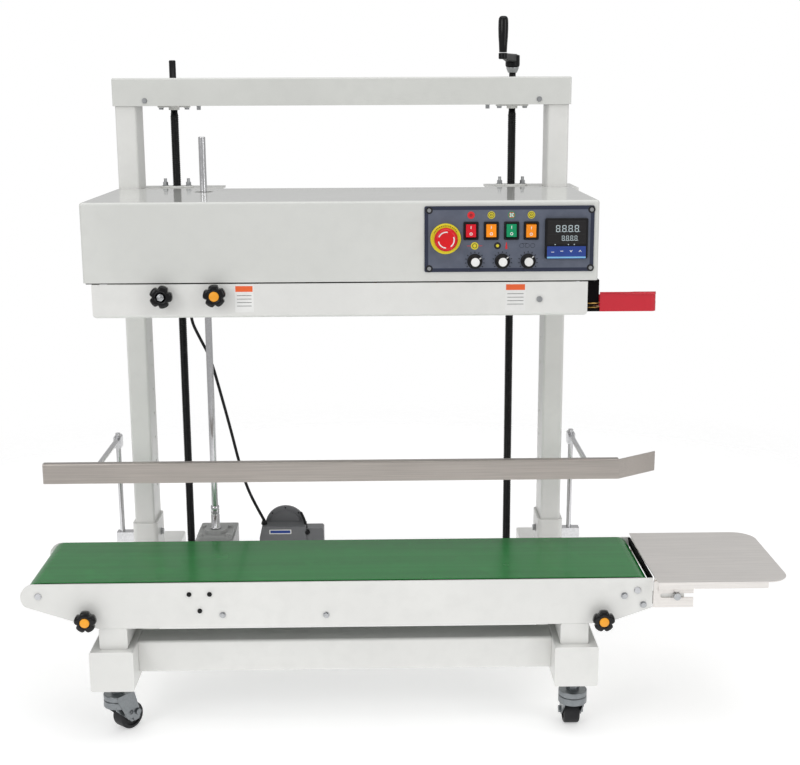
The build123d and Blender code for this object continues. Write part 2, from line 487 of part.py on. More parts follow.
with BuildPart() as guide_rail:
    block(RAIL_LEFT, RAIL_RIGHT, RAIL_Y, RAIL_Y + RAIL_T, RAIL_BOTTOM, RAIL_TOP)
    block(RAIL_LEFT, RAIL_RIGHT, RAIL_Y, RAIL_Y + RAIL_RETURN, RAIL_TOP - RAIL_T, RAIL_TOP)
    block(RAIL_LEFT, RAIL_RIGHT, RAIL_Y, RAIL_Y + RAIL_HEM, RAIL_BOTTOM, RAIL_BOTTOM + RAIL_T)
    bend = guide_rail.edges().filter_by(Axis.X).group_by(Axis.Z)[-1].sort_by(Axis.Y)[0]
    fillet(bend, radius=3.0)
    with BuildSketch(level(RAIL_BOTTOM)) as flare:
        with BuildLine():
            Polyline((RAIL_RIGHT, RAIL_Y), (RAIL_RIGHT + FLARE_OUT, RAIL_Y + FLARE_BACK),
                     (RAIL_RIGHT + FLARE_OUT - 1.1, RAIL_Y + FLARE_BACK + 1.6), (RAIL_RIGHT, RAIL_Y + RAIL_T),
                     close=True)
        make_face()
    extrude(flare.sketch, amount=RAIL_TOP - RAIL_BOTTOM)
save(guide_rail, "guide_rail")

CLAMP_HALF, CLAMP_DEPTH, CLAMP_BOTTOM, CLAMP_TOP, CLAMP_ROD_Z = 7.5, 12.0, 440.0, 462.0, 456.6
with BuildPart() as rail_clamps:
    for x in POSTS:
        front, rear = POST_Y - CLAMP_DEPTH, POST_Y + CLAMP_DEPTH
        block(x - CLAMP_HALF, x + CLAMP_HALF, front, rear, CLAMP_BOTTOM, CLAMP_TOP)
        rod(x, POST_Y, CLAMP_BOTTOM - 1, POST_R + RUN, CLAMP_TOP - CLAMP_BOTTOM + 2, mode=Mode.SUBTRACT)
        rod(x, front, CLAMP_ROD_Z, 5.0, front - RAIL_Y - RAIL_T - GAP, FRONTWARD)
        rod(x, rear + GAP, CLAMP_ROD_Z, 5.0, 12.0, REARWARD)
save(rail_clamps, "rail_clamps")

# ---------------------------------------------------------------- lift screws and crank
def lift_screw(x):
    """Threaded rod with turned ends and a chain sprocket in the top beam."""
    rod(x, SCREW_Y, SCREW_BOTTOM, JOURNAL_R, STUB_TOP - SCREW_BOTTOM)
    rod(x, SCREW_Y, THREAD_BOTTOM, SCREW_R, THREAD_TOP - THREAD_BOTTOM)
    with BuildSketch(Plane(origin=spot(x, SCREW_Y, SPROCKET_Z), z_dir=(0, 0, 1))) as sprocket:
        Circle(SPROCKET_R)
        with PolarLocations(SPROCKET_R + 1.2, 16):
            Circle(3.0, mode=Mode.SUBTRACT)
        Circle(JOURNAL_R + GAP, mode=Mode.SUBTRACT)
    extrude(sprocket.sketch, amount=SPROCKET_H)


with BuildPart() as lead_screw_left:
    lift_screw(-SCREW_X)
save(lead_screw_left, "lead_screw_left")

with BuildPart() as lead_screw_right:
    lift_screw(SCREW_X)
    with BuildSketch(level(1180.0)) as collar:
        with Locations((SCREW_X, SCREW_Y)):
            Circle(10.5)
            Circle(JOURNAL_R + GAP, mode=Mode.SUBTRACT)
    extrude(collar.sketch, amount=ARM_HUB_BOTTOM - 1180.0 - GAP)
    with BuildSketch(level(CRANK_BOTTOM)) as crank:
        with Locations((SCREW_X, SCREW_Y)):
            Circle(HUB_R)
        with Locations((GRIP_X, GRIP_Y)):
            Circle(END_R)
        make_hull()
        with Locations((SCREW_X, SCREW_Y)):
            Circle(JOURNAL_R + GAP, mode=Mode.SUBTRACT)
    extrude(crank.sketch, amount=CRANK_TOP - CRANK_BOTTOM)
    with BuildSketch(level(ARM_HUB_BOTTOM)) as hub:
        with Locations((SCREW_X, SCREW_Y)):
            Circle(HUB_R)
            Circle(JOURNAL_R + GAP, mode=Mode.SUBTRACT)
    extrude(hub.sketch, amount=CRANK_BOTTOM - ARM_HUB_BOTTOM)
    rod(GRIP_X, GRIP_Y, CRANK_TOP, GRIP_PIN_R, 60.0)
save(lead_screw_right, "lead_screw_right")

with BuildPart() as crank_grip:
    with BuildSketch(Plane(origin=spot(GRIP_X, GRIP_Y, 0), x_dir=(1, 0, 0), z_dir=FRONTWARD)) as half_section:
        with BuildLine():
            Polyline((0, GRIP_BOTTOM), (7.2, GRIP_BOTTOM), (9.6, GRIP_BOTTOM + 34), (9.6, GRIP_TOP - 4))
            ThreePointArc((9.6, GRIP_TOP - 4), (7.5, GRIP_TOP - 1), (4.0, GRIP_TOP))
            Polyline((4.0, GRIP_TOP), (0, GRIP_TOP), (0, GRIP_BOTTOM))
        make_face()
    revolve(half_section.sketch, axis=Axis(spot(GRIP_X, GRIP_Y, 0), (0, 0, 1)))
    rod(GRIP_X, GRIP_Y, GRIP_BOTTOM - 1, GRIP_PIN_R + RUN, 61.5, mode=Mode.SUBTRACT)
save(crank_grip, "crank_grip")

with BuildPart() as drive_shaft:
    rod(SHAFT_X, SHAFT_Y, GEARBOX_TOP - 19, SHAFT_R, SHAFT_TOP - GEARBOX_TOP + 19)
    chamfer(drive_shaft.edges().sort_by(Axis.Z)[-1], length=1.0)
save(drive_shaft, "drive_shaft")

# ---------------------------------------------------------------- sealing head
with BuildPart() as head_cover:
    block(HEAD_LEFT, HEAD_RIGHT, HEAD_FRONT, 0.0, HEAD_BOTTOM, HEAD_TOP)
    uprights = head_cover.edges().filter_by(Axis.Z).group_by(Axis.Y)[0]
    brow = head_cover.edges().group_by(Axis.Z)[-1].sort_by(Axis.Y)[:-1]
    fillet(uprights + brow, radius=5.0)
    bottom_face = head_cover.faces().sort_by(Axis.Z)[0]
    rear_face = head_cover.faces().sort_by(Axis.Y)[-1]
    offset(amount=-SHEET, openings=[bottom_face, rear_face])
    block(PANEL_X - 136, PANEL_X + 136, HEAD_FRONT - 1, HEAD_FRONT + SHEET + 1,
          PANEL_Z - 49, PANEL_Z + 49, Mode.SUBTRACT)
    rod(SHAFT_X, SHAFT_Y, HEAD_TOP - SHEET - 1, 18.0, SHEET + 2, mode=Mode.SUBTRACT)
save(head_cover, "head_cover")

INSET = SHEET + 1.5
with BuildPart() as head_chassis:
    block(HEAD_LEFT + INSET, HEAD_RIGHT - INSET, HEAD_FRONT + INSET, 0.0, FLOOR_BOTTOM, FLOOR_TOP)
    block(HEAD_LEFT + INSET, HEAD_RIGHT - INSET, -3.0, 0.0, 770.0, HEAD_TOP - INSET)
    block(-LOWER_HALF, LOWER_HALF, REAR_LIP_BACK - 3, REAR_LIP_BACK, LOWER_BOTTOM, FLOOR_BOTTOM + 1)
    block(-LOWER_HALF, LOWER_HALF, REAR_LIP_FRONT, REAR_LIP_BACK, LOWER_BOTTOM, LOWER_BOTTOM + 2)
    for side in (-1, 1):
        for offset_y in (-1, 1):
            centre = BAG_Y + offset_y * (WHEEL_R + BAND_T + 0.8)
            rod(side * WHEEL_X, centre, FLOOR_BOTTOM - 1, WHEEL_SHAFT_R + RUN, 5, mode=Mode.SUBTRACT)
    rod(SHAFT_X, SHAFT_Y, FLOOR_BOTTOM - 1, 9.0, 5, mode=Mode.SUBTRACT)
    rod(CABLE_ROUTE[0][0], 0.0, CABLE_ROUTE[0][2], 7.0, 18.0, REARWARD)
save(head_chassis, "head_chassis")

with BuildPart() as lower_cover:
    block(-LOWER_HALF, LOWER_HALF, HEAD_FRONT, LOWER_REAR, LOWER_BOTTOM, LOWER_TOP)
    sill = lower_cover.edges().filter_by(Axis.X).group_by(Axis.Z)[0].sort_by(Axis.Y)[0]
    ends = lower_cover.edges().filter_by(Axis.Y).group_by(Axis.Z)[0]
    fillet([sill] + list(ends), radius=7.0)
    top_face = lower_cover.faces().sort_by(Axis.Z)[-1]
    rear_face = lower_cover.faces().sort_by(Axis.Y)[-1]
    offset(amount=-SHEET, openings=[top_face, rear_face])
    for x, z in COVER_KNOBS:
        rod(x, HEAD_FRONT - 1, z, KNOB_STEM_R + RUN, SHEET + 2, REARWARD, Mode.SUBTRACT)
save(lower_cover, "lower_cover")

GUIDE, NUT_BOLT, NUT_FLANGE_T = 0.6, 22.6, 3.5
with BuildPart() as lift_brackets:
    for side, inner, outer in ((-1, 241.0, 440.0), (1, 280.0, 455.0)):
        x0, x1 = sorted((side * inner, side * outer))
        block(x0, x1, GAP, BRACKET_REAR, BRACKET_BOTTOM, BRACKET_TOP)
        block(x0, x1, GAP, GAP + 3, BRACKET_BOTTOM - 60, BRACKET_TOP)
        column_inner = side * (COLUMN_X - COLUMN_WIDTH / 2 - GUIDE)
        column_outer = side * (COLUMN_X + COLUMN_WIDTH / 2 + GUIDE)
        c0, c1 = sorted((column_inner, column_outer))
        block(c0, c1, -1.0, COLUMN_DEPTH + GUIDE, BRACKET_BOTTOM - 70, BRACKET_TOP + 5, Mode.SUBTRACT)
        rod(side * SCREW_X, SCREW_Y, BRACKET_BOTTOM - 1, 11.0, 8, mode=Mode.SUBTRACT)
        with BuildSketch(level(BRACKET_TOP + GAP)) as nut_flange:
            with Locations((side * SCREW_X, SCREW_Y)):
                SlotCenterToCenter(2 * NUT_BOLT, 20.0)
                Circle(17.0)
                Circle(SCREW_R + RUN, mode=Mode.SUBTRACT)
        extrude(nut_flange.sketch, amount=NUT_FLANGE_T)
        with BuildSketch(level(BRACKET_BOTTOM - 14)) as nut_body:
            with Locations((side * SCREW_X, SCREW_Y)):
                Circle(10.8)
                Circle(SCREW_R + RUN, mode=Mode.SUBTRACT)
        extrude(nut_body.sketch, amount=BRACKET_TOP + GAP + NUT_FLANGE_T - BRACKET_BOTTOM + 14)
save(lift_brackets, "lift_brackets")

with BuildPart() as head_bolts:
    for side in (-1, 1):
        flange_top = BRACKET_TOP + NUT_FLANGE_T + 2 * GAP
        for x in (side * SCREW_X - NUT_BOLT, side * SCREW_X + NUT_BOLT):
            bolt(x, SCREW_Y, flange_top, 5.0, 7.0, (0, 0, 1))
            rod(x, SCREW_Y, flange_top, 3.0, 14.0)
    for x in (PANEL_X - 136.5, PANEL_X + 139.5):
        for z in (PANEL_Z - 50, PANEL_Z + 49):
            rod(x, HEAD_FRONT - PANEL_T - 2 * GAP, z, 3.2, 1.6, FRONTWARD)
    rod(342.0, HEAD_FRONT - GAP, 795.0, 5.0, 2.6, FRONTWARD)
save(head_bolts, "head_bolts")

with BuildPart() as seal_blocks:
    for offset_y in (-1, 1):
        near = BAG_Y + offset_y * (BAND_T + 0.8 + 0.6)
        far = near + offset_y * 8.0
        y0, y1 = sorted((near, far))
        for x0, x1 in ((40.0, 190.0), (-170.0, -40.0)):
            block(x0, x1, y0, y1, BAND_BOTTOM + 1, BAND_TOP - 1)
            for x in (x0 + 20, x1 - 20):
                rod(x, (y0 + y1) / 2, BAND_TOP - 2, 3.0, FLOOR_BOTTOM - GAP - BAND_TOP + 2)
save(seal_blocks, "seal_blocks")

with BuildPart() as sealing_bands:
    for offset_y in (-1, 1):
        with BuildSketch(level(BAND_BOTTOM)) as loop:
            with Locations((0, BAG_Y + offset_y * (WHEEL_R + BAND_T + 0.8))):
                SlotCenterToCenter(2 * WHEEL_X, 2 * (WHEEL_R + 0.3 + BAND_T))
                SlotCenterToCenter(2 * WHEEL_X, 2 * (WHEEL_R + 0.3), mode=Mode.SUBTRACT)
        extrude(loop.sketch, amount=BAND_TOP - BAND_BOTTOM)
save(sealing_bands, "sealing_bands")


def band_wheel(x, offset_y, name):
    """Grooved wheel that carries one end of a sealing band, with its upright shaft."""
    y = BAG_Y + offset_y * (WHEEL_R + BAND_T + 0.8)
    with BuildPart() as wheel:
        rod(x, y, BAND_BOTTOM - 2, WHEEL_R, BAND_TOP - BAND_BOTTOM + 4)
        rod(x, y, BAND_BOTTOM - 5, WHEEL_SHAFT_R, 70.0)
        rod(x, y, FLOOR_TOP + 4, 12.0, 8.0)
    save(wheel, name)


for row_name, row in (("front", -1), ("rear", 1)):
    band_wheel(WHEEL_X, row, f"band_wheel_{row_name}_infeed")
    band_wheel(-WHEEL_X, row, f"band_wheel_{row_name}_outfeed")

with BuildPart() as infeed_guard:
    with BuildSketch(level(769.0)) as channel:
        with BuildLine():
            Polyline((450.0, -305.0), (549.0, -305.0), (549.0, -217.0), (450.0, -217.0), close=True)
        make_face()
        fillet(channel.vertices().group_by(Axis.X)[-1], radius=9.0)
        with BuildLine():
            Polyline((430.0, -303.0), (500.0, -303.0), (547.0, -290.0), (547.0, -232.0), (500.0, -219.0),
                     (430.0, -219.0), close=True)
        make_face(mode=Mode.SUBTRACT)
    extrude(channel.sketch, amount=34.0)
    block(450.0, 520.0, -303.5, -268.0, 769.0, 771.0)
    block(450.0, 520.0, -254.0, -218.5, 769.0, 771.0)
    block(546.0, 552.0, -266.0, -256.0, 750.0, 810.0, Mode.SUBTRACT)
    block(440.0, 552.0, -300.0, -210.0, 786.0, 810.0, Mode.SUBTRACT)
    for y0, y1 in ((-303.5, -297.0), (-225.0, -218.5)):
        block(427.0, 460.0, y0, y1, 769.0, 774.0)
save(infeed_guard, "infeed_guard")

# ---------------------------------------------------------------- control panel
PANEL_BACK = HEAD_FRONT - GAP
PANEL_FACE = PANEL_BACK - PANEL_T
with BuildPart() as control_panel:
    with BuildSketch(front_plane(PANEL_BACK)) as face:
        with Locations((PANEL_X, PANEL_Z)):
            RectangleRounded(PANEL_W, PANEL_H, 3.0)
        with Locations((ESTOP_X, ESTOP_Z)):
            Circle(ESTOP_STEM_R + 2.0, mode=Mode.SUBTRACT)
        with Locations(*[(x, SWITCH_Z) for x in SWITCHES]):
            Rectangle(BEZEL_W - 3, BEZEL_H - 3, mode=Mode.SUBTRACT)
        with Locations(*[(x, POT_Z) for x in POTS]):
            Circle(3.0 + RUN, mode=Mode.SUBTRACT)
        with Locations((METER_X, METER_Z)):
            Rectangle(METER_W - 5, METER_H - 5, mode=Mode.SUBTRACT)
    extrude(face.sketch, amount=PANEL_T)
save(control_panel, "control_panel")

BODY_CLEAR = 3.0 + 2 * GAP
with BuildPart() as switch_bezels:
    for x in SWITCHES:
        with BuildSketch(front_plane(PANEL_FACE - GAP)) as rim:
            with Locations((x, SWITCH_Z)):
                RectangleRounded(BEZEL_W, BEZEL_H, 2.0)
        extrude(rim.sketch, amount=2.5)
        block(x - (BEZEL_W - BODY_CLEAR) / 2, x + (BEZEL_W - BODY_CLEAR) / 2, PANEL_FACE - GAP,
              PANEL_FACE + 18, SWITCH_Z - (BEZEL_H - BODY_CLEAR) / 2, SWITCH_Z + (BEZEL_H - BODY_CLEAR) / 2)
        block(x - ROCKER_W / 2 - 0.5, x + ROCKER_W / 2 + 0.5, PANEL_FACE - 5, PANEL_FACE + 9,
              SWITCH_Z - ROCKER_H / 2 - 1, SWITCH_Z + ROCKER_H / 2 + 1, Mode.SUBTRACT)
    with BuildSketch(front_plane(PANEL_FACE - GAP)) as collar:
        with Locations((ESTOP_X, ESTOP_Z)):
            Circle(COLLAR_R)
            Circle(ESTOP_STEM_R + 0.4, mode=Mode.SUBTRACT)
    extrude(collar.sketch, amount=3.0)
save(switch_bezels, "switch_bezels")

ROCKER_PIVOT_Y = PANEL_FACE + 1.0
for number, x in enumerate(SWITCHES, start=1):
    tilt = radians(ROCKER_TILT) * (-1 if number == len(SWITCHES) else 1)
    with BuildPart() as rocker:
        with BuildSketch(Plane(origin=spot(x - ROCKER_W / 2, ROCKER_PIVOT_Y, SWITCH_Z),
                               x_dir=(0, -cos(tilt), sin(tilt)), z_dir=(-1, 0, 0))) as profile:
            with BuildLine():
                half = ROCKER_H / 2 - 0.6
                Polyline((-4, -half), (4.8, -half), (3.2, 0), (4.8, half), (-4, half), close=True)
            make_face()
        extrude(profile.sketch, amount=-ROCKER_W)
    save(rocker, f"rocker_switch_{number}")

with BuildPart() as estop_button:
    rod(ESTOP_X, PANEL_FACE + 12, ESTOP_Z, ESTOP_STEM_R, 24.0, FRONTWARD)
    rod(ESTOP_X, PANEL_FACE - 10, ESTOP_Z, ESTOP_R, 12.0, FRONTWARD)
    fillet(estop_button.edges().sort_by(Axis.Y)[0], radius=5.0)
save(estop_button, "estop_button")

for number, x in enumerate(POTS, start=1):
    with BuildPart() as pot:
        rod(x, PANEL_FACE - 0.6, POT_Z, POT_R, 13.0, FRONTWARD)
        chamfer(pot.edges().sort_by(Axis.Y)[0], length=1.2)
        rod(x, PANEL_FACE + 8, POT_Z, 3.0, 9.0, FRONTWARD)
        block(x - 0.7, x + 0.7, PANEL_FACE - 14.6, PANEL_FACE - 12.9, POT_Z, POT_Z + POT_R - 1.5)
    save(pot, f"speed_knob_{number}")

with BuildPart() as temperature_controller:
    with BuildSketch(front_plane(PANEL_FACE - GAP)) as rim:
        with Locations((METER_X, METER_Z)):
            RectangleRounded(METER_W, METER_H, 3.0)
    extrude(rim.sketch, amount=6.0)
    chamfer(temperature_controller.edges().group_by(Axis.Y)[0], length=1.2)
    block(METER_X - 33.5, METER_X + 33.5, PANEL_FACE - GAP, PANEL_FACE + 70, METER_Z - 31.5, METER_Z + 31.5)
save(temperature_controller, "temperature_controller")


# ---------------------------------------------------------------- casters
def caster_frame(x, y, angle, across=0.0):
    """Plane of one caster's side view: its own x along the trail and its own y upwards."""
    turn = radians(angle)
    side = (sin(turn), -cos(turn), 0)
    origin = spot(x + side[0] * across, y + side[1] * across, 0)
    return Plane(origin=origin, x_dir=(cos(turn), sin(turn), 0), z_dir=side)


RING_BOTTOM, RING_SPLIT, RING_TOP, HUB_FACE_R, AXLE_BOLT_R = 52.0, 65.0, 76.0, 8.0, 4.0
with BuildPart() as caster_stems:
    for x, y, angle in CASTERS.values():
        rod(x, y, RING_SPLIT, RING_RADIUS, RING_TOP - RING_SPLIT)
        rod(x, y, RING_TOP, 7.0, LEG_BOTTOM - GAP - RING_TOP)
        rod(x, y, LEG_BOTTOM - GAP - 2.5, 15.0, 2.5)
        with BuildSketch(level(RING_TOP)) as nut:
            with Locations((x, y)):
                RegularPolygon(12.0, 6)
        extrude(nut.sketch, amount=9.0)
    circles = caster_stems.edges().filter_by(GeomType.CIRCLE)
    fillet(circles.filter_by(lambda edge: edge.radius > RING_RADIUS - 1), radius=2.0)
save(caster_stems, "caster_stems")


def add_brake(x, y, angle):
    """Brake plate beside the rings of a fork, held by a pin on the fork's outer cheek."""
    with BuildSketch(caster_frame(x, y, angle, FORK_INNER + 1)) as pin:
        with Locations(BRAKE_PIN):
            Circle(BRAKE_PIN_R)
    extrude(pin.sketch, amount=BRAKE_FACE + BRAKE_T - FORK_INNER)
    with BuildSketch(caster_frame(x, y, angle, BRAKE_FACE)) as plate:
        with BuildLine():
            Polyline(*BRAKE_PLATE, close=True)
        make_face()
        fillet(plate.vertices().group_by(Axis.Y)[-1], radius=4.0)
        with Locations(BRAKE_HOLE):
            Circle(BRAKE_HOLE_R, mode=Mode.SUBTRACT)
    extrude(plate.sketch, amount=BRAKE_T)
    with BuildSketch(caster_frame(x, y, angle, BRAKE_FACE + BRAKE_T)) as nut:
        with Locations(BRAKE_PIN):
            RegularPolygon(6.0, 6)
    extrude(nut.sketch, amount=4.0)


def caster(name, x, y, angle):
    """One swivel fork with its axle bolt, and the wheel that turns in it."""
    with BuildPart() as fork:
        rod(x, y, RING_BOTTOM, RING_RADIUS, RING_SPLIT - GAP - RING_BOTTOM)
        fillet(fork.edges().sort_by(Axis.Z)[-1], radius=2.0)
        for across in (FORK_INNER, -FORK_INNER - FORK_T):
            with BuildSketch(caster_frame(x, y, angle, across)) as cheek:
                with BuildLine():
                    Polyline((-19, 56), (20, 56), (34, 32), (34, 17), (14, 17), (-19, 49), close=True)
                make_face()
                fillet(cheek.vertices().group_by(Axis.Y)[0], radius=6.0)
                with Locations((TRAIL, CASTER_R)):
                    Circle(AXLE_BOLT_R + GAP, mode=Mode.SUBTRACT)
            extrude(cheek.sketch, amount=FORK_T)
        bolt_start = FORK_INNER + FORK_T + GAP
        with BuildSketch(caster_frame(x, y, angle, -bolt_start - 4)) as shank:
            with Locations((TRAIL, CASTER_R)):
                Circle(AXLE_BOLT_R)
        extrude(shank.sketch, amount=2 * bolt_start + 8)
        for across in (bolt_start, -bolt_start - 4):
            with BuildSketch(caster_frame(x, y, angle, across)) as head:
                with Locations((TRAIL, CASTER_R)):
                    RegularPolygon(6.5, 6)
            extrude(head.sketch, amount=4.0)
        if name == BRAKED_CASTER:
            add_brake(x, y, angle)
    save(fork, f"caster_fork_{name}")

    with BuildPart() as wheel:
        with BuildSketch(caster_frame(x, y, angle, -CASTER_W / 2)) as disc:
            with Locations((TRAIL, CASTER_R)):
                Circle(CASTER_R)
        extrude(disc.sketch, amount=CASTER_W)
        fillet(wheel.edges(), radius=4.0)
        for across in (-CASTER_W / 2, CASTER_W / 2 - 3):
            with BuildSketch(caster_frame(x, y, angle, across)) as recess:
                with Locations((TRAIL, CASTER_R)):
                    Circle(CASTER_R - 7)
                    Circle(HUB_FACE_R, mode=Mode.SUBTRACT)
            extrude(recess.sketch, amount=3.0, mode=Mode.SUBTRACT)
        with BuildSketch(caster_frame(x, y, angle, -CASTER_W)) as bore:
            with Locations((TRAIL, CASTER_R)):
                Circle(AXLE_BOLT_R + RUN)
        extrude(bore.sketch, amount=2 * CASTER_W, mode=Mode.SUBTRACT)
    save(wheel, f"caster_wheel_{name}")


for caster_name, (caster_x, caster_y, caster_angle) in CASTERS.items():
    caster(caster_name, caster_x, caster_y, caster_angle)
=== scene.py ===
"""Looks of the continuous band sealer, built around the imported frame.

Lengths are metres, unless a name ends in _mm, and angles are degrees where a name or a comment says so.
"""
import math

import bmesh
import bpy
from mathutils import Matrix, Vector


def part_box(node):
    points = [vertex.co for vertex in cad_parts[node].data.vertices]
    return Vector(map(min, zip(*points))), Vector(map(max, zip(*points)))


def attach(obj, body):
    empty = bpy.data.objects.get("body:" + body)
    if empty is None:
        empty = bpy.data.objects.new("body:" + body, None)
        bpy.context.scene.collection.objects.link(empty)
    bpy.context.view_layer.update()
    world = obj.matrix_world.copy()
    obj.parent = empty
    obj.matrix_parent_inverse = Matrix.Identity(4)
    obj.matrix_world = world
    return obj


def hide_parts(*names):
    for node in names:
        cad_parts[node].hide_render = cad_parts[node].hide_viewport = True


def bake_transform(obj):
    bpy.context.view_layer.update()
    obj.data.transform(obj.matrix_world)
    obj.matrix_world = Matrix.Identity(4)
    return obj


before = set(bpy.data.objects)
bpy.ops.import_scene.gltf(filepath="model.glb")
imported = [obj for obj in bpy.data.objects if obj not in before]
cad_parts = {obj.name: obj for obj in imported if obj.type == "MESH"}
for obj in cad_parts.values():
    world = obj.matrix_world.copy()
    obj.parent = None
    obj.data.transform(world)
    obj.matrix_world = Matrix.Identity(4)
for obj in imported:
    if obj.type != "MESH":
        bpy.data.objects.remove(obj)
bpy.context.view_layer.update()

scene = bpy.context.scene
MM = 0.001

# ---- places, all worked out from the frame
COLUMN_LOW, COLUMN_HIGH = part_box("columns")
DATUM = Vector(((COLUMN_LOW.x + COLUMN_HIGH.x) / 2, COLUMN_LOW.y, 0.0))


def at(x_mm, y_mm, z_mm):
    """A place given in millimetres from the stand's datum, as a point of the frame."""
    return DATUM + Vector((x_mm, y_mm, z_mm)) * MM


# ---- camera
CAMERA_AT = at(62.2, -2567.1, 1142.6)
CAMERA_PITCH, CAMERA_YAW, CAMERA_ROLL = math.radians(-12.397), math.radians(1.001), math.radians(-0.258)
LENS_MM, SENSOR_MM, CLIP_START, CLIP_END = 59.3, 36.0, 0.05, 60.0


def make_camera():
    """Camera in front of the machine, a little above the conveyor and looking slightly down."""
    data = bpy.data.cameras.new("camera")
    data.lens, data.sensor_width, data.sensor_fit = LENS_MM, SENSOR_MM, "HORIZONTAL"
    data.clip_start, data.clip_end = CLIP_START, CLIP_END
    camera = bpy.data.objects.new("camera", data)
    scene.collection.objects.link(camera)
    ahead = Vector((math.sin(CAMERA_YAW) * math.cos(CAMERA_PITCH),
                    math.cos(CAMERA_YAW) * math.cos(CAMERA_PITCH), math.sin(CAMERA_PITCH)))
    right = Vector((math.cos(CAMERA_YAW), -math.sin(CAMERA_YAW), 0.0))
    up = right.cross(ahead)
    turn = Matrix((right, up, -ahead)).transposed() @ Matrix.Rotation(CAMERA_ROLL, 3, "Z")
    camera.matrix_world = Matrix.Translation(CAMERA_AT) @ turn.to_4x4()
    scene.camera = camera


make_camera()


# ---- materials
# how far the wear of edges and the painted shade of crevices reach
PAINT_EDGE, PLASTIC_EDGE, PAINT_CREVICE, PLATED_CREVICE = 0.0016, 0.0012, 0.02, 0.004
OCCLUSION_SAMPLES, OCCLUSION_FULL, OCCLUSION_NONE = 4, 0.25, 0.8


def srgb(red, green, blue):
    """Linear colour of an 8-bit display colour."""
    def channel(value):
        value /= 255.0
        return value / 12.92 if value <= 0.04045 else ((value + 0.055) / 1.055) ** 2.4
    return (channel(red), channel(green), channel(blue), 1.0)


def shade(colour, factor):
    """The colour made lighter or darker."""
    return tuple(min(1.0, c * factor) for c in colour[:3]) + (1.0,)


class Surface:
    """A procedural material: a Principled shader with helpers that wire its texture nodes."""

    def __init__(self, name, rough, metal=0.0, **sockets):
        self.material = bpy.data.materials.new(name)
        self.material.use_nodes = True
        self.tree = self.material.node_tree
        self.shader = self.tree.nodes["Principled BSDF"]
        self.shader.inputs["Roughness"].default_value = rough
        self.shader.inputs["Metallic"].default_value = metal
        for socket, value in sockets.items():
            self.shader.inputs[socket.replace("_", " ")].default_value = value
        self.place = self.node("ShaderNodeTexCoord").outputs["Object"]

    def node(self, kind, **values):
        made = self.tree.nodes.new(kind)
        for name, value in values.items():
            setattr(made, name, value)
        return made

    def link(self, out, into):
        self.tree.links.new(out, into)

    def put(self, value, socket):
        """Sets a socket to a number or a colour, or links another socket to it."""
        if isinstance(value, (tuple, float, int)):
            socket.default_value = value
        else:
            self.link(value, socket)

    def calculate(self, operation, *values):
        """A Math node over numbers and sockets."""
        made = self.node("ShaderNodeMath", operation=operation)
        for value, socket in zip(values, made.inputs):
            self.put(value, socket)
        return made.outputs[0]

    def stretched(self, scale):
        """Object coordinates scaled unequally, for grain that runs one way."""
        mapping = self.node("ShaderNodeMapping")
        mapping.inputs["Scale"].default_value = scale
        self.link(self.place, mapping.inputs["Vector"])
        return mapping.outputs["Vector"]

    def noise(self, scale, detail=3.0, vector=None):
        texture = self.node("ShaderNodeTexNoise")
        texture.inputs["Scale"].default_value = scale
        texture.inputs["Detail"].default_value = detail
        self.link(vector or self.place, texture.inputs["Vector"])
        return texture.outputs["Fac"]

    def ramp(self, factor, stops):
        """Colour ramp over a factor, from (position, colour) stops."""
        made = self.node("ShaderNodeValToRGB")
        elements = made.color_ramp.elements
        elements[0].position, elements[0].color = stops[0]
        elements[1].position, elements[1].color = stops[-1]
        for position, colour in stops[1:-1]:
            elements.new(position).color = colour
        self.link(factor, made.inputs["Fac"])
        return made.outputs["Color"]

    def mix(self, factor, first, second):
        """Mixes two colours, each a tuple or a socket, by a factor that is a number or a socket."""
        made = self.node("ShaderNodeMix", data_type="RGBA")
        for value, socket in ((factor, made.inputs[0]), (first, made.inputs[6]), (second, made.inputs[7])):
            self.put(value, socket)
        return made.outputs[2]

    def spread(self, factor, low, high, start=0.0, end=1.0):
        """A factor mapped from start..end to low..high."""
        made = self.node("ShaderNodeMapRange")
        for name, value in (("From Min", start), ("From Max", end), ("To Min", low), ("To Max", high)):
            made.inputs[name].default_value = value
        self.link(factor, made.inputs["Value"])
        return made.outputs["Result"]

    def corners(self, distance, inside):
        """Nearness to an edge (inside) or to a crevice (outside), from 1 at it to 0 away from it."""
        found = self.node("ShaderNodeAmbientOcclusion", samples=OCCLUSION_SAMPLES, inside=inside)
        found.inputs["Distance"].default_value = distance
        return self.spread(found.outputs["AO"], 1.0, 0.0, OCCLUSION_FULL, OCCLUSION_NONE)

    def bump(self, height, strength, distance):
        made = self.node("ShaderNodeBump")
        made.inputs["Strength"].default_value = strength
        made.inputs["Distance"].default_value = distance
        self.link(height, made.inputs["Height"])
        self.link(made.outputs["Normal"], self.shader.inputs["Normal"])

    def colour(self, socket):
        self.link(socket, self.shader.inputs["Base Color"])

    def roughness(self, socket):
        self.link(socket, self.shader.inputs["Roughness"])


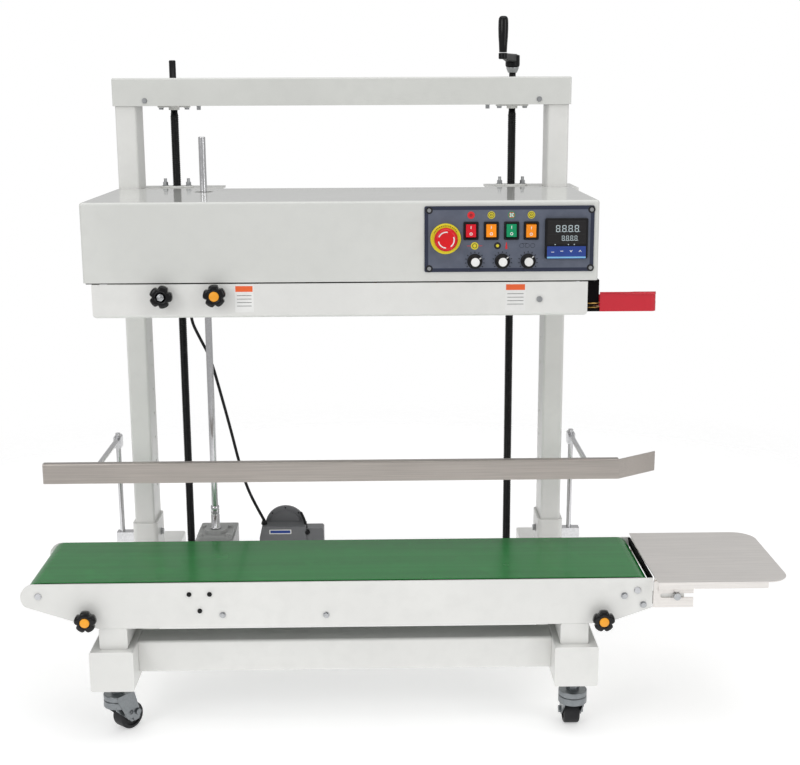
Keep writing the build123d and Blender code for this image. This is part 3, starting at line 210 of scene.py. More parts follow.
def painted(name, colour, rough=0.42, grain=900.0, wear=0.5, crevice_shade=0.35, orange_peel=0.12, gloss=(0.3, 0.16),
            level=0.5):
    """Powder coat or paint: mottled colour, orange peel, dust, painted shade in corners and rubbed edges."""
    made = Surface(name, rough, Coat_Weight=gloss[0], Coat_Roughness=gloss[1], Specular_IOR_Level=level)
    base = made.ramp(made.noise(5.0, 4.0), [(0.3, shade(colour, 0.965)), (0.7, shade(colour, 1.03))])
    dust = made.mix(made.spread(made.noise(38.0, 6.0), 0.0, 0.5, 0.45, 0.75), base, shade(colour, 0.93))
    # painted shade: darker in crevices and corners, found by ambient occlusion
    crevice_shaded = made.mix(made.spread(made.corners(PAINT_CREVICE, False), 0.0, crevice_shade), dust, shade(colour, 0.62))
    rubbed = made.spread(made.noise(160.0, 5.0), 0.0, wear, 0.5, 0.68)
    edges = made.calculate("MULTIPLY", made.corners(PAINT_EDGE, True), rubbed)
    made.colour(made.mix(edges, crevice_shaded, shade(colour, 0.72)))
    made.roughness(made.spread(made.noise(22.0, 5.0), rough - 0.07, rough + 0.09))
    made.bump(made.noise(grain, 2.0), orange_peel, distance=0.0006)
    return made.material


def brushed(name, colour, rough=0.3, along=0, streak=0.16, metal=1.0):
    """Brushed or drawn metal whose grain runs along one axis."""
    made = Surface(name, rough, metal)
    scale = [9.0 if axis == along else 900.0 for axis in range(3)]
    grain = made.noise(1.0, 5.0, made.stretched(scale))
    base = made.ramp(grain, [(0.3, shade(colour, 1.0 - streak)), (0.7, shade(colour, 1.0 + streak * 0.6))])
    smudge = made.spread(made.noise(9.0, 4.0), 0.0, 0.3, 0.45, 0.7)
    made.colour(made.mix(smudge, base, shade(colour, 0.86)))
    made.roughness(made.spread(grain, rough - 0.06, rough + 0.12))
    made.bump(grain, strength=0.12, distance=0.0002)
    return made.material


def plated(name, colour, rough):
    """Zinc or chrome plating with a faint spangle and painted shade in its corners."""
    made = Surface(name, rough, 1.0)
    patches = made.ramp(made.noise(300.0, 3.0), [(0.35, shade(colour, 0.88)), (0.65, colour)])
    # painted shade: darker in corners and crevices, found by ambient occlusion
    corner_shade = made.spread(made.corners(PLATED_CREVICE, False), 0.0, 0.55)
    made.colour(made.mix(corner_shade, patches, shade(colour, 0.35)))
    made.roughness(made.spread(made.noise(60.0, 5.0), rough - 0.05, rough + 0.12))
    made.bump(made.noise(1400.0, 2.0), strength=0.05, distance=0.0002)
    return made.material


def moulded(name, colour, rough=0.4, texture=0.2, coat=0.0, glow=0.0, level=0.5):
    """Moulded plastic: fine spark-eroded grain, slight sheen changes and paler rubbed edges."""
    made = Surface(name, rough, Coat_Weight=coat, Coat_Roughness=0.08, Specular_IOR_Level=level)
    base = made.ramp(made.noise(30.0, 3.0), [(0.3, shade(colour, 0.9)), (0.7, shade(colour, 1.08))])
    pale = tuple(0.8 * c + 0.06 for c in colour[:3]) + (1.0,)
    made.colour(made.mix(made.spread(made.corners(PLASTIC_EDGE, True), 0.0, 0.3), base, pale))
    made.roughness(made.spread(made.noise(70.0, 4.0), rough - 0.05, rough + 0.1))
    made.bump(made.noise(1500.0, 2.0), texture, distance=0.00025)
    if glow:
        made.shader.inputs["Emission Color"].default_value = colour
        made.shader.inputs["Emission Strength"].default_value = glow
    return made.material


def rubber(name, colour, rough, level=0.3):
    """Rubber or sleeve: matt, faintly dusty."""
    made = Surface(name, rough, Specular_IOR_Level=level)
    made.colour(made.ramp(made.noise(45.0, 6.0), [(0.35, colour), (0.75, shade(colour, 1.9))]))
    made.roughness(made.spread(made.noise(90.0, 4.0), rough - 0.1, rough + 0.15))
    made.bump(made.noise(700.0, 4.0), strength=0.25, distance=0.0003)
    return made.material


def belt_material(name):
    """Glossy green conveyor belt: faint long tracking streaks, scuffs and a fine fabric print-through."""
    made = Surface(name, 0.22, Specular_IOR_Level=0.32, Coat_Weight=0.12, Coat_Roughness=0.1)
    green = srgb(20, 122, 50)
    streaks = made.noise(1.0, 4.0, made.stretched((1.5, 60.0, 60.0)))
    base = made.ramp(streaks, [(0.3, shade(green, 0.86)), (0.7, shade(green, 1.12))])
    made.colour(made.mix(made.spread(made.noise(24.0, 6.0), 0.0, 0.35, 0.55, 0.72), base, shade(green, 1.35)))
    made.roughness(made.spread(made.noise(15.0, 5.0), 0.16, 0.32))
    weave = made.node("ShaderNodeTexWave", wave_type="BANDS", bands_direction="X")
    weave.inputs["Scale"].default_value = 420.0
    made.link(made.place, weave.inputs["Vector"])
    made.bump(weave.outputs["Fac"], strength=0.04, distance=0.0002)
    return made.material


def panel_material(name):
    """Printed slate control panel with a navy border all round."""
    made = Surface(name, 0.38, Coat_Weight=0.25, Coat_Roughness=0.2)
    low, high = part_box("control_panel")
    centre, half = (low + high) / 2, (high - low) / 2
    split = made.node("ShaderNodeSeparateXYZ")
    made.link(made.place, split.inputs[0])
    inside = []
    for axis, mid, reach in (("X", centre.x, half.x), ("Z", centre.z, half.z)):
        offset = made.calculate("ABSOLUTE", made.calculate("SUBTRACT", split.outputs[axis], mid))
        inside.append(made.calculate("LESS_THAN", offset, reach - PANEL_BORDER))
    field = made.calculate("MULTIPLY", *inside)
    slate = made.ramp(made.noise(60.0, 5.0), [(0.3, srgb(84, 91, 107)), (0.7, srgb(95, 101, 117))])
    made.colour(made.mix(field, srgb(30, 38, 62), slate))
    made.roughness(made.spread(made.noise(40.0, 4.0), 0.32, 0.48))
    made.bump(made.noise(1800.0, 2.0), strength=0.08, distance=0.0002)
    return made.material


PANEL_BORDER = 6.5 * MM
LAMP_LENS = dict(rough=0.26, texture=0.05, coat=0.2, glow=0.12, level=0.3)
# maker, 8-bit display colour and settings of each plain material
LOOKS = {
    "coat": (painted, (230, 230, 227), {}),
    # the same powder coat as coat, painted darker as shade on the head and beam, with a glossier clear coat
    "coat_head": (painted, (219, 220, 216), dict(rough=0.34, wear=0.4, gloss=(0.9, 0.03))),
    # the belt's green painted dark and matt as shade on its return run under the conveyor
    "belt_return": (rubber, (58, 66, 61), dict(rough=0.7)),
    "stainless": (brushed, (187, 180, 174), dict(rough=0.34)),
    "tray_steel": (brushed, (236, 232, 228), dict(rough=0.32, streak=0.1, metal=0.6)),
    "chrome": (plated, (214, 214, 216), dict(rough=0.12)),
    "zinc": (plated, (188, 190, 192), dict(rough=0.26)),
    # a darker copy of zinc for the casters and their stems
    "dull_zinc": (plated, (138, 142, 145), dict(rough=0.28)),
    "black_steel": (painted, (12, 12, 14),
                    dict(rough=0.3, grain=1500.0, crevice_shade=0.1, gloss=(0.1, 0.1), level=0.2)),
    "casting": (painted, (168, 169, 168), dict(rough=0.5, grain=500.0, wear=0.4, crevice_shade=0.5, orange_peel=0.5)),
    "motor_paint": (painted, (112, 113, 116), dict(rough=0.4, grain=500.0, crevice_shade=0.4, orange_peel=0.3)),
    "cable": (rubber, (14, 14, 16), dict(rough=0.45)),
    "black_plastic": (moulded, (18, 18, 21), dict(rough=0.42, level=0.25)),
    "gloss_black": (moulded, (10, 10, 12), dict(rough=0.2, texture=0.04, coat=0.25, level=0.2)),
    "red": (moulded, (222, 16, 28), dict(rough=0.28, texture=0.06, coat=0.2, level=0.3)),
    "orange": (moulded, (246, 142, 16), LAMP_LENS),
    "rocker_red": (moulded, (206, 14, 34), LAMP_LENS),
    "green": (moulded, (4, 138, 90), LAMP_LENS),
    "cap_orange": (moulded, (255, 168, 36), dict(texture=0.1)),
    "yellow": (moulded, (232, 216, 44), dict(texture=0.08, level=0.3)),
    "white_print": (moulded, (238, 238, 236), dict(rough=0.45, texture=0.03)),
    "guard": (painted, (205, 28, 48), dict(rough=0.34, wear=0.7, crevice_shade=0.2)),
    "brass": (plated, (205, 165, 96), dict(rough=0.3)),
    "band": (rubber, (120, 88, 58), dict(rough=0.5)),
    "aluminium": (brushed, (206, 207, 210), dict(rough=0.3, along=1)),
    "tyre": (rubber, (26, 26, 28), dict(rough=0.5)),
    "display": (moulded, (16, 12, 14), dict(rough=0.14, texture=0.01, coat=0.15, level=0.15)),
    "digit_pale": (moulded, (186, 200, 204), dict(rough=0.3, texture=0.02, glow=0.2)),
    "key_blue": (moulded, (28, 62, 146), dict(texture=0.08, level=0.3)),
    "key_light": (moulded, (126, 190, 232), dict(texture=0.05)),
    "label_white": (moulded, (240, 240, 238), dict(rough=0.5, texture=0.02)),
    "label_orange": (moulded, (240, 96, 24), dict(rough=0.5, texture=0.02)),
    "ink": (moulded, (20, 20, 26), dict(rough=0.5, texture=0.02, level=0.2)),
    # near black, painted as the shade in gaps and recesses
    "dark_gap": (rubber, (10, 8, 9), dict(rough=0.8, level=0.1)),
}
MATERIALS = {name: maker(name, srgb(*colour), **settings)
             for name, (maker, colour, settings) in LOOKS.items()}
MATERIALS.update(belt=belt_material("belt"), panel=panel_material("panel"))

CASTERS = ("front_left", "front_right", "rear_left", "rear_right")
NODE_MATERIALS = {
    "coat": ("base_frame", "drive_shelf", "columns", "conveyor_front_plate",
             "conveyor_rear_plate", "lift_brackets", "lower_cover"),
    "coat_head": ("head_cover", "head_chassis", "top_beam"),
    "belt": ("conveyor_belt",),
    "stainless": ("guide_rail", "slider_bed"),
    "tray_steel": ("tray",),
    "chrome": ("rail_posts", "rail_clamps", "drive_shaft"),
    "zinc": ("stand_bolts", "head_bolts", "screw_chain"),
    "dull_zinc": ("caster_stems", *(f"caster_fork_{corner}" for corner in CASTERS)),
    "casting": ("screw_bearings", "angle_gearbox"),
    "motor_paint": ("gear_motor",),
    "black_steel": ("lead_screw_left", "lead_screw_right"),
    "black_plastic": ("temperature_controller", "speed_knob_1", "speed_knob_2", "speed_knob_3",
                      "switch_bezels"),
    "gloss_black": ("crank_grip", "cover_knob_left", "cover_knob_right", "conveyor_knob_left",
                    "conveyor_knob_right"),
    "red": ("estop_button",),
    "rocker_red": ("rocker_switch_1",),
    "orange": ("rocker_switch_2", "rocker_switch_4"),
    "green": ("rocker_switch_3",),
    "panel": ("control_panel",),
    "guard": ("infeed_guard",),
    "brass": ("seal_blocks",),
    "band": ("sealing_bands",),
    "aluminium": ("drive_roller", "idler_roller", "band_wheel_front_infeed", "band_wheel_front_outfeed",
                  "band_wheel_rear_infeed", "band_wheel_rear_outfeed"),
    "tyre": [f"caster_wheel_{corner}" for corner in CASTERS],
    "cable": ("motor_cable",),
}
SOFT_EDGES_MM = {"base_frame": 1.0, "columns": 0.8, "top_beam": 0.6, "head_cover": 0.5,
                 "lower_cover": 0.5, "conveyor_front_plate": 0.5, "conveyor_rear_plate": 0.5, "tray": 0.3,
                 "guide_rail": 0.4, "gear_motor": 1.5, "screw_bearings": 0.8, "infeed_guard": 0.4}
OTHER_EDGES_MM, BEVEL_SEGMENTS, SHADING_WEIGHT, MERGE_DISTANCE = 0.3, 2, 60, 0.00001
FLAT_ANGLE, SHARP_ANGLE = math.radians(0.8), math.radians(35)
# where single nodes change colour
BEAM_BEARINGS_Z = 0.5
SOCKET_SCREWS_MM = ((-273.0, -376.0, 281.0), (-237.0, -376.0, 281.0), (-255.0, -376.0, 250.0))
SOCKET_REACH = 8 * MM
GUARD_START_MM, RETURN_RUN_MM, PARTING_LINE_MM = 449.8, 262.0, -321.0


def soften(target, width_mm):
    """Rounds a mesh's sharp edges a little and keeps its flat faces flat in the shading."""
    weld = target.modifiers.new("weld", "WELD")
    weld.merge_threshold = MERGE_DISTANCE
    merge = target.modifiers.new("flat_faces", "DECIMATE")
    merge.decimate_type, merge.angle_limit = "DISSOLVE", FLAT_ANGLE
    bevel = target.modifiers.new("soft_edges", "BEVEL")
    bevel.width, bevel.segments, bevel.angle_limit = width_mm * MM, BEVEL_SEGMENTS, SHARP_ANGLE
    bevel.limit_method, bevel.use_clamp_overlap = "ANGLE", True
    normals = target.modifiers.new("even_shading", "WEIGHTED_NORMAL")
    normals.mode, normals.weight, normals.keep_sharp = "FACE_AREA_WITH_ANGLE", SHADING_WEIGHT, False


def dress_cad_nodes():
    """Gives every CAD node its material, smooth faces and softly rounded edges."""
    for key, names in NODE_MATERIALS.items():
        for name in names:
            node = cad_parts[name]
            node.data.materials.clear()
            node.data.materials.append(MATERIALS[key])
            node.data.polygons.foreach_set("use_smooth", [True] * len(node.data.polygons))
            if "custom_normal" in node.data.attributes:
                node.data.attributes.remove(node.data.attributes["custom_normal"])
            soften(node, SOFT_EDGES_MM.get(name, OTHER_EDGES_MM))


def repaint(name, key, chosen):
    """Gives the faces of a CAD node whose centres pass a test another material."""
    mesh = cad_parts[name].data
    mesh.materials.append(MATERIALS[key])
    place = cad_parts[name].matrix_world
    for face in mesh.polygons:
        if chosen(place @ face.center):
            face.material_index = len(mesh.materials) - 1


def repaint_details():
    """Second colours inside single nodes.

    They are the light bearings under the beam, the dark socket screws, painted shade on the start of the
    guard inside the band channel, the return run of the belt painted dark and matt as shade, and painted
    shade in the parting line of the head.
    """
    sockets = [at(*place) for place in SOCKET_SCREWS_MM]
    guard_start, return_run = at(GUARD_START_MM, 0.0, 0.0).x, at(0.0, 0.0, RETURN_RUN_MM).z
    parting_line = at(0.0, PARTING_LINE_MM, 0.0).y
    repaint("screw_bearings", "coat", lambda point: point.z > BEAM_BEARINGS_Z)
    repaint("stand_bolts", "black_steel",
            lambda point: any((point - screw).length < SOCKET_REACH for screw in sockets))
    # painted shade on the guard's inner end, inside the band channel
    repaint("infeed_guard", "dark_gap", lambda point: point.x < guard_start)
    # the belt's return run painted dark as shade under the conveyor
    repaint("conveyor_belt", "belt_return", lambda point: point.z < return_run)
    # painted shade in the parting line between the head cover and the lower cover
    repaint("head_chassis", "dark_gap", lambda point: point.y < parting_line)


dress_cad_nodes()
repaint_details()


# ---- mesh tools
RIGHT, REAR, UP = Vector((1, 0, 0)), Vector((0, 1, 0)), Vector((0, 0, 1))
FRONT = -REAR
CORNER_STEPS, ARC_STEP = 5, 8


def build(name, mesh_maker, materials, smooth=True):
    """A new mesh object from a bmesh function."""
    mesh = bpy.data.meshes.new(name)
    work = bmesh.new()
    mesh_maker(work)
    bmesh.ops.recalc_face_normals(work, faces=work.faces)
    work.to_mesh(mesh)
    work.free()
    for material in materials:
        mesh.materials.append(material)
    if smooth:
        mesh.polygons.foreach_set("use_smooth", [True] * len(mesh.polygons))
    made = bpy.data.objects.new(name, mesh)
    scene.collection.objects.link(made)
    return made


def piece(name, mesh_maker, material, body, bevel_mm=0.0, smooth=True):
    """A new mesh object with its finish, that rides on a body."""
    keys = [material] if isinstance(material, str) else material
    made = build(name, mesh_maker, [MATERIALS[key] for key in keys], smooth)
    if bevel_mm:
        soften(made, bevel_mm)
    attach(made, body)
    return made


def facing(degrees, up=UP):
    """Direction at an angle from the right towards up."""
    return RIGHT * math.cos(math.radians(degrees)) + up * math.sin(math.radians(degrees))


def circle(centre, first, second, radius_mm, steps):
    """Points of a circle about a centre, in the plane of two directions."""
    angles = [2 * math.pi * step / steps for step in range(steps)]
    return [centre + (first * math.cos(angle) + second * math.sin(angle)) * radius_mm * MM
            for angle in angles]


def loft(work, loops, material=0, first_cap=True, last_cap=True):
    """Skin over a row of point loops; a loop of one point is a tip, and caps close the ends."""
    rings = [[work.verts.new(point) for point in loop] for loop in loops]
    for first, second in zip(rings, rings[1:]):
        steps = max(len(first), len(second))
        for step in range(steps):
            after = (step + 1) % steps
            corners = dict.fromkeys((first[step % len(first)], first[after % len(first)],
                                     second[after % len(second)], second[step % len(second)]))
            if len(corners) > 2:
                work.faces.new(list(corners)).material_index = material
    for capped, ring in ((first_cap, rings[0]), (last_cap, rings[-1])):
        if capped:
            work.faces.new(ring).material_index = material


def lathe(work, axis_point, axis, profile_mm, steps=48, material=0):
    """Turns (distance along, radius) points in millimetres about an axis; a zero radius closes the end."""
    side = axis.orthogonal().normalized()
    across = axis.cross(side)
    loops = []
    for along, radius in profile_mm:
        centre = axis_point + axis * along * MM
        loops.append(circle(centre, side, across, radius, steps) if radius > 0 else [centre])
    loft(work, loops, material, False, False)


def prism(work, outline, thickness, material=0):
    """Solid slab between an outline of points and the same outline moved by a vector."""
    loft(work, [outline, [point + thickness for point in outline]], material)


def tube_along(work, path, radius_mm, sides=16):
    """Closed round tube that follows a list of points."""
    loops, across = [], RIGHT
    for index, point in enumerate(path):
        ahead = (path[min(index + 1, len(path) - 1)] - path[max(index - 1, 0)]).normalized()
        across = (across - ahead * across.dot(ahead)).normalized()
        loops.append(circle(point, across, ahead.cross(across), radius_mm, sides))
    loft(work, loops)


def rounded_outline(centre, width_mm, height_mm, corner_mm):
    """Points of a rounded rectangle about a centre, in the front plane."""
    points = []
    half_w, half_h = width_mm / 2 - corner_mm, height_mm / 2 - corner_mm
    for quarter, (sign_x, sign_z) in enumerate(((1, 1), (-1, 1), (-1, -1), (1, -1))):
        for step in range(CORNER_STEPS + 1):
            corner = facing(90 * (quarter + step / CORNER_STEPS)) * corner_mm
            points.append(centre + (RIGHT * sign_x * half_w + UP * sign_z * half_h + corner) * MM)
    return points


def disc(work, centre, radius_mm, thickness_mm, material=0, steps=36):
    """Thin round slab that faces the front."""
    prism(work, circle(centre, RIGHT, UP, radius_mm, steps), FRONT * thickness_mm * MM, material)


def arc(work, centre, inner_mm, outer_mm, start, sweep, thickness_mm, material=0, up=UP, steps=0):
    """Thin slab in the shape of a part of a ring, in the plane of right and up; its angles are degrees."""
    steps = steps or max(2, int(sweep / ARC_STEP))
    ways = [facing(start + sweep * step / steps, up) * MM for step in range(steps + 1)]
    for first, second in zip(ways, ways[1:]):
        outline = [centre + first * outer_mm, centre + second * outer_mm,
                   centre + second * inner_mm, centre + first * inner_mm]
        prism(work, outline, RIGHT.cross(up) * thickness_mm * MM, material)


def bar(work, centre, width_mm, height_mm, thickness_mm, material=0, corner_mm=0.0, up=UP):
    """Thin rectangular slab in the plane of right and up, with rounded corners if it faces the front."""
    if corner_mm:
        outline = rounded_outline(centre, width_mm, height_mm, corner_mm)
    else:
        outline = [centre + (RIGHT * x * width_mm + up * z * height_mm) * MM / 2
                   for x, z in ((1, 1), (-1, 1), (-1, -1), (1, -1))]
    prism(work, outline, RIGHT.cross(up) * thickness_mm * MM, material)


def stroke(work, first, second, half_mm, thickness_mm, material=0):
    """Thin straight slab between two points that faces the front."""
    side = (second - first).cross(FRONT).normalized() * half_mm * MM
    outline = [first - side, first + side, second + side, second - side]
    prism(work, outline, FRONT * thickness_mm * MM, material)


# ---- lead screws and crank
SCREW_X_MM, SCREW_Y_MM = 330.0, 65.0
THREAD_LOW_MM, THREAD_HIGH_MM, THREAD_PITCH_MM, THREAD_STEPS = 219.5, 1102.0, 4.0, 20
THREAD_ROOT_MM, THREAD_CREST_MM, THREAD_WELD = 7.2, 8.0, 0.000002
# share of the pitch, and radius there
THREAD_SHAPE = ((0.0, THREAD_ROOT_MM), (0.18, THREAD_CREST_MM), (0.5, THREAD_CREST_MM),
                (0.68, THREAD_ROOT_MM), (1.0, THREAD_ROOT_MM))
# turned shapes are points of distance along the axis and radius
CORE_PROFILE_MM = ((201.5, 0), (201.5, 6.5), (220, 6.5), (220, 7.0), (1106, 7.0), (1106, 6.5), (1204.5, 6.5),
                   (1206, 5.4), (1206, 0))
SPROCKET_PROFILE_MM = ((1140, 6.6), (1140, 24), (1147, 24), (1147, 6.6))
COLLAR_PROFILE_MM = ((1180, 6.6), (1180, 8.6), (1188.5, 12.2), (1189.8, 12.2), (1189.8, 6.6))
HUB_PROFILE_MM = ((1190.2, 6.8), (1190.2, 12.0), (1194, 13.9), (1212, 13.9), (1213.5, 12.6), (1213.5, 0))
BOSS_PROFILE_MM = ((1204, 0), (1204, 7.0), (1205.5, 8.4), (1214.6, 8.4), (1215.6, 7.6), (1215.6, 0))
GRIP_PROFILE_MM = ((1216.6, 4.2), (1216.6, 7.0), (1218, 7.4), (1231, 8.0), (1245, 9.0), (1260, 9.5),
                   (1274, 9.3), (1279, 8.5), (1282, 6.5), (1283, 3.6), (1283, 0))
GRIP_X_MM, GRIP_Y_MM = 304.5, -5.0
ARM_HUB_WIDTH_MM, ARM_GRIP_WIDTH_MM, ARM_HUB_LOW_MM, ARM_GRIP_LOW_MM = 11.0, 6.4, 1197.0, 1205.5
ARM_SHOULDER_MM, ARM_TOP_MM, ARM_CHAMFER_MM, ARM_TOP_CHAMFER_MM, ARM_SECTIONS = 1213.0, 1215.2, 3.0, 2.5, 12


def threaded_rod(work, foot):
    """Trapezoidal thread as one continuous helical ridge."""
    turns = int((THREAD_HIGH_MM - THREAD_LOW_MM) / THREAD_PITCH_MM)
    previous = None
    for index in range(turns * THREAD_STEPS + 1):
        way = facing(360 * index / THREAD_STEPS, REAR)
        height = THREAD_LOW_MM + THREAD_PITCH_MM * index / THREAD_STEPS
        row = [work.verts.new(foot + (way * radius + UP * (height + share * THREAD_PITCH_MM)) * MM)
               for share, radius in THREAD_SHAPE]
        if previous:
            for low, high, low_next, high_next in zip(previous, previous[1:], row, row[1:]):
                work.faces.new((low, low_next, high_next, high))
        previous = row


def make_lead_screws():
    """Both lift screws with their sprockets; the right one carries the collar and the crank arm."""
    for side, sign in (("left", -1), ("right", 1)):
        foot = at(sign * SCREW_X_MM, SCREW_Y_MM, 0.0)

        def screw(work):
            threaded_rod(work, foot)
            bmesh.ops.remove_doubles(work, verts=work.verts, dist=THREAD_WELD)
            lathe(work, foot, UP, CORE_PROFILE_MM, 32)
            lathe(work, foot, UP, SPROCKET_PROFILE_MM, 32)
        shown = piece(f"screw_{side}", screw, "black_steel", f"lead_screw_{side}")
        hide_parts(f"lead_screw_{side}")
    foot = at(SCREW_X_MM, SCREW_Y_MM, 0.0)
    piece("screw_collar", lambda work: lathe(work, foot, UP, COLLAR_PROFILE_MM, 40), "zinc",
          "lead_screw_right", 0.3)
    make_crank(foot)


def make_crank(foot):
    """Cast crank arm: a round hub on the screw, a tapering arm and a boss under the grip; and the grip."""
    grip = at(GRIP_X_MM, GRIP_Y_MM, 0.0)
    across = UP.cross((grip - foot).normalized())

    def arm(work):
        lathe(work, foot, UP, HUB_PROFILE_MM, 48)
        lathe(work, grip, UP, BOSS_PROFILE_MM, 40)
        loops = []
        for step in range(ARM_SECTIONS + 1):
            share = step / ARM_SECTIONS
            width = ARM_HUB_WIDTH_MM * (1 - share) + ARM_GRIP_WIDTH_MM * share
            low = ARM_HUB_LOW_MM * (1 - share) + ARM_GRIP_LOW_MM * share
            half = ((width - ARM_CHAMFER_MM, low), (width, low + ARM_CHAMFER_MM), (width, ARM_SHOULDER_MM),
                    (width - ARM_TOP_CHAMFER_MM, ARM_TOP_MM))
            outline = half + tuple((-x, z) for x, z in reversed(half))
            loops.append([foot.lerp(grip, share) + (across * x + UP * z) * MM for x, z in outline])
        loft(work, loops)
    piece("crank_arm", arm, "black_steel", "lead_screw_right", 0.5)

    shown = piece("grip", lambda work: lathe(work, grip, UP, GRIP_PROFILE_MM, 48), "gloss_black",
                  "crank_grip")
    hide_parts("crank_grip")


make_lead_screws()


# ---- star knobs
HEAD_FACE_MM, PLATE_FACE_MM = -326.0, -373.0
KNOBS_MM = (
    ("cover_knob_left", (-304.0, HEAD_FACE_MM, 806.0), False, 0),
    ("cover_knob_right", (-213.5, HEAD_FACE_MM, 807.0), True, 95),
    ("conveyor_knob_left", (-453.0, PLATE_FACE_MM, 240.0), True, 90),
    ("conveyor_knob_right", (458.0, PLATE_FACE_MM, 231.0), True, 90),
)
KNOB_STEPS, KNOB_LOBES, NOTCH_SPREAD = 150, 5, 9.5
# distance in front of the mounting face, radius and depth of the notches there
KNOB_PROFILE_MM = (
    (0.6, 9.4, 0.0), (9.0, 9.4, 0.0), (12.5, 13.0, 1.2), (14.5, 17.6, 3.6), (16.0, 19.4, 4.3),
    (24.0, 19.4, 4.3), (26.6, 17.8, 3.8), (27.7, 14.8, 2.0), (28.0, 12.0, 0.4), (28.0, 9.2, 0.0),
    (26.2, 8.9, 0.0),
)
KNOB_RECESS_MM, KNOB_SEAT_MM = 26.2, 26.3
STUD_PROFILE_MM = ((-8, 0), (-8, 3.9), (1, 3.9), (1, 0))
CAP_PROFILE_MM = ((0, 0), (0, 8.5), (1.4, 8.5), (2.2, 7.6), (2.5, 0))
NUT_PROFILE_MM = ((0, 0), (0, 6.6), (1.8, 6.6), (2.3, 5.9), (2.3, 3.4))
NUT_STUD_PROFILE_MM = ((0, 3.3), (2.6, 3.3), (3.0, 2.8), (3.0, 0))


def star_knob(name, centre, has_cap, first_lobe):
    """Five-lobed knob with a domed face, waisted hub and a cap or an open nut in its recess."""
    def notch(degrees):
        """How deep the knob's outline is cut in at an angle, from 0 on a lobe to 1 in a valley."""
        turn = (degrees - first_lobe) % (360 / KNOB_LOBES) - 180 / KNOB_LOBES
        return math.exp(-(turn / NOTCH_SPREAD) ** 2)

    def knob(work):
        angles = [360 * step / KNOB_STEPS for step in range(KNOB_STEPS)]
        loops = [[centre + (FRONT * along + facing(angle) * (radius - cut * notch(angle))) * MM
                  for angle in angles] for along, radius, cut in KNOB_PROFILE_MM]
        loft(work, loops + [[centre + FRONT * KNOB_RECESS_MM * MM]], last_cap=False)
        lathe(work, centre, FRONT, STUD_PROFILE_MM, 24)
    shown = piece(f"{name}_head", knob, "gloss_black", name)
    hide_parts(name)
    face = centre + FRONT * KNOB_SEAT_MM * MM
    if has_cap:
        piece(f"{name}_cap", lambda work: lathe(work, face, FRONT, CAP_PROFILE_MM, 48), "cap_orange", name)
        return

    def nut(work):
        lathe(work, face, FRONT, NUT_PROFILE_MM, 6)
        lathe(work, face, FRONT, NUT_STUD_PROFILE_MM, 24)
    piece(f"{name}_nut", nut, "zinc", name)


for knob_name, knob_place, capped, lobe_angle in KNOBS_MM:
    star_knob(knob_name, at(*knob_place), capped, lobe_angle)


# ---- motor cable
CABLE_MM, CABLE_ORDER, CABLE_STEPS = 6.0, 3, 12
CABLE_ROUTE_MM = (
    (-300.0, 18.3, 776.0), (-301.0, 37.0, 775.0), (-308.0, 47.0, 748.0), (-311.5, 46.0, 702.0),
    (-294.0, 45.0, 663.0), (-274.0, 43.0, 624.0), (-253.0, 39.0, 541.0), (-236.5, 34.0, 474.5),
    (-221.5, 28.0, 409.0), (-206.5, 23.0, 357.0), (-188.0, 19.0, 317.0), (-172.5, 18.0, 287.2),
)


def make_cable():
    """Round cable from the head's rear gland to the terminal box."""
    line = bpy.data.curves.new("cable_line", "CURVE")
    line.dimensions = "3D"
    spline = line.splines.new("NURBS")
    spline.points.add(len(CABLE_ROUTE_MM) - 1)
    for point, place in zip(spline.points, CABLE_ROUTE_MM):
        point.co = (*at(*place), 1.0)
    spline.order_u, spline.use_endpoint_u, spline.resolution_u = CABLE_ORDER, True, CABLE_STEPS
    guide = bpy.data.objects.new("cable_guide", line)
    scene.collection.objects.link(guide)
    bpy.context.view_layer.update()
    path = [vertex.co.copy() for vertex in bpy.data.meshes.new_from_object(guide).vertices]
    bpy.data.objects.remove(guide)
    sleeve = build("motor_cable_sleeve", lambda work: tube_along(work, path, CABLE_MM / 2),
                   [MATERIALS["cable"]])
    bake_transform(sleeve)
    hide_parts("motor_cable")


make_cable()


# ---- control panel
PANEL_Y_MM, BEZEL_Y_MM, METER_FACE_MM = -328.2, -328.4, -334.4
SWITCHES_MM, SWITCH_Z_MM, ICON_Z_MM = (223.0, 257.5, 292.0, 325.5), 913.0, 939.6
POTS_MM, POT_Z_MM, POT_ICON_Z_MM = (230.0, 277.0, 321.0), 861.0, 887.5
ESTOP_X_MM, ESTOP_Z_MM, METER_X_MM = 180.0, 900.0, 385.5
PANEL_SCREWS_MM = [(x, z) for x in (152.0, 428.0) for z in (849.0, 948.0)]
INK_T, INK_STEP, ICON_R = 0.1, 0.15, 6.3
# width, height, corner and distance behind the bezels' foot of each outline of a rocker bezel
BEZEL_LOOPS_MM = ((25.5, 31, 2.0, 0), (25.5, 31, 2.0, -1.7), (24.1, 29.6, 1.6, -2.5), (19.4, 25.4, 0.8, -2.5),
                  (18.2, 24.2, 0.5, -1.4), (18.2, 24.2, 0.5, 8.0))
YELLOW_RING_PROFILE_MM = ((0, 9.6), (0, 26), (1.6, 26), (2.8, 24.6), (3.0, 23.5), (2.6, 18), (2.4, 9.6))
MUSHROOM_PROFILE_MM = ((-11.5, 0), (-11.5, 8.8), (10.2, 8.8), (10.2, 17.0), (11.0, 19.2), (12.4, 19.9),
                       (16.0, 19.8), (19.0, 18.6), (21.0, 16.6), (21.9, 14.0), (21.9, 11.0), (21.4, 8.4),
                       (21.2, 0))
SKIRT_PROFILE_MM = ((0.6, 0), (0.6, 13.0), (1.8, 13.0), (2.8, 12.0), (3.4, 8.2), (11.5, 7.9), (12.6, 7.0),
                    (12.6, 0))
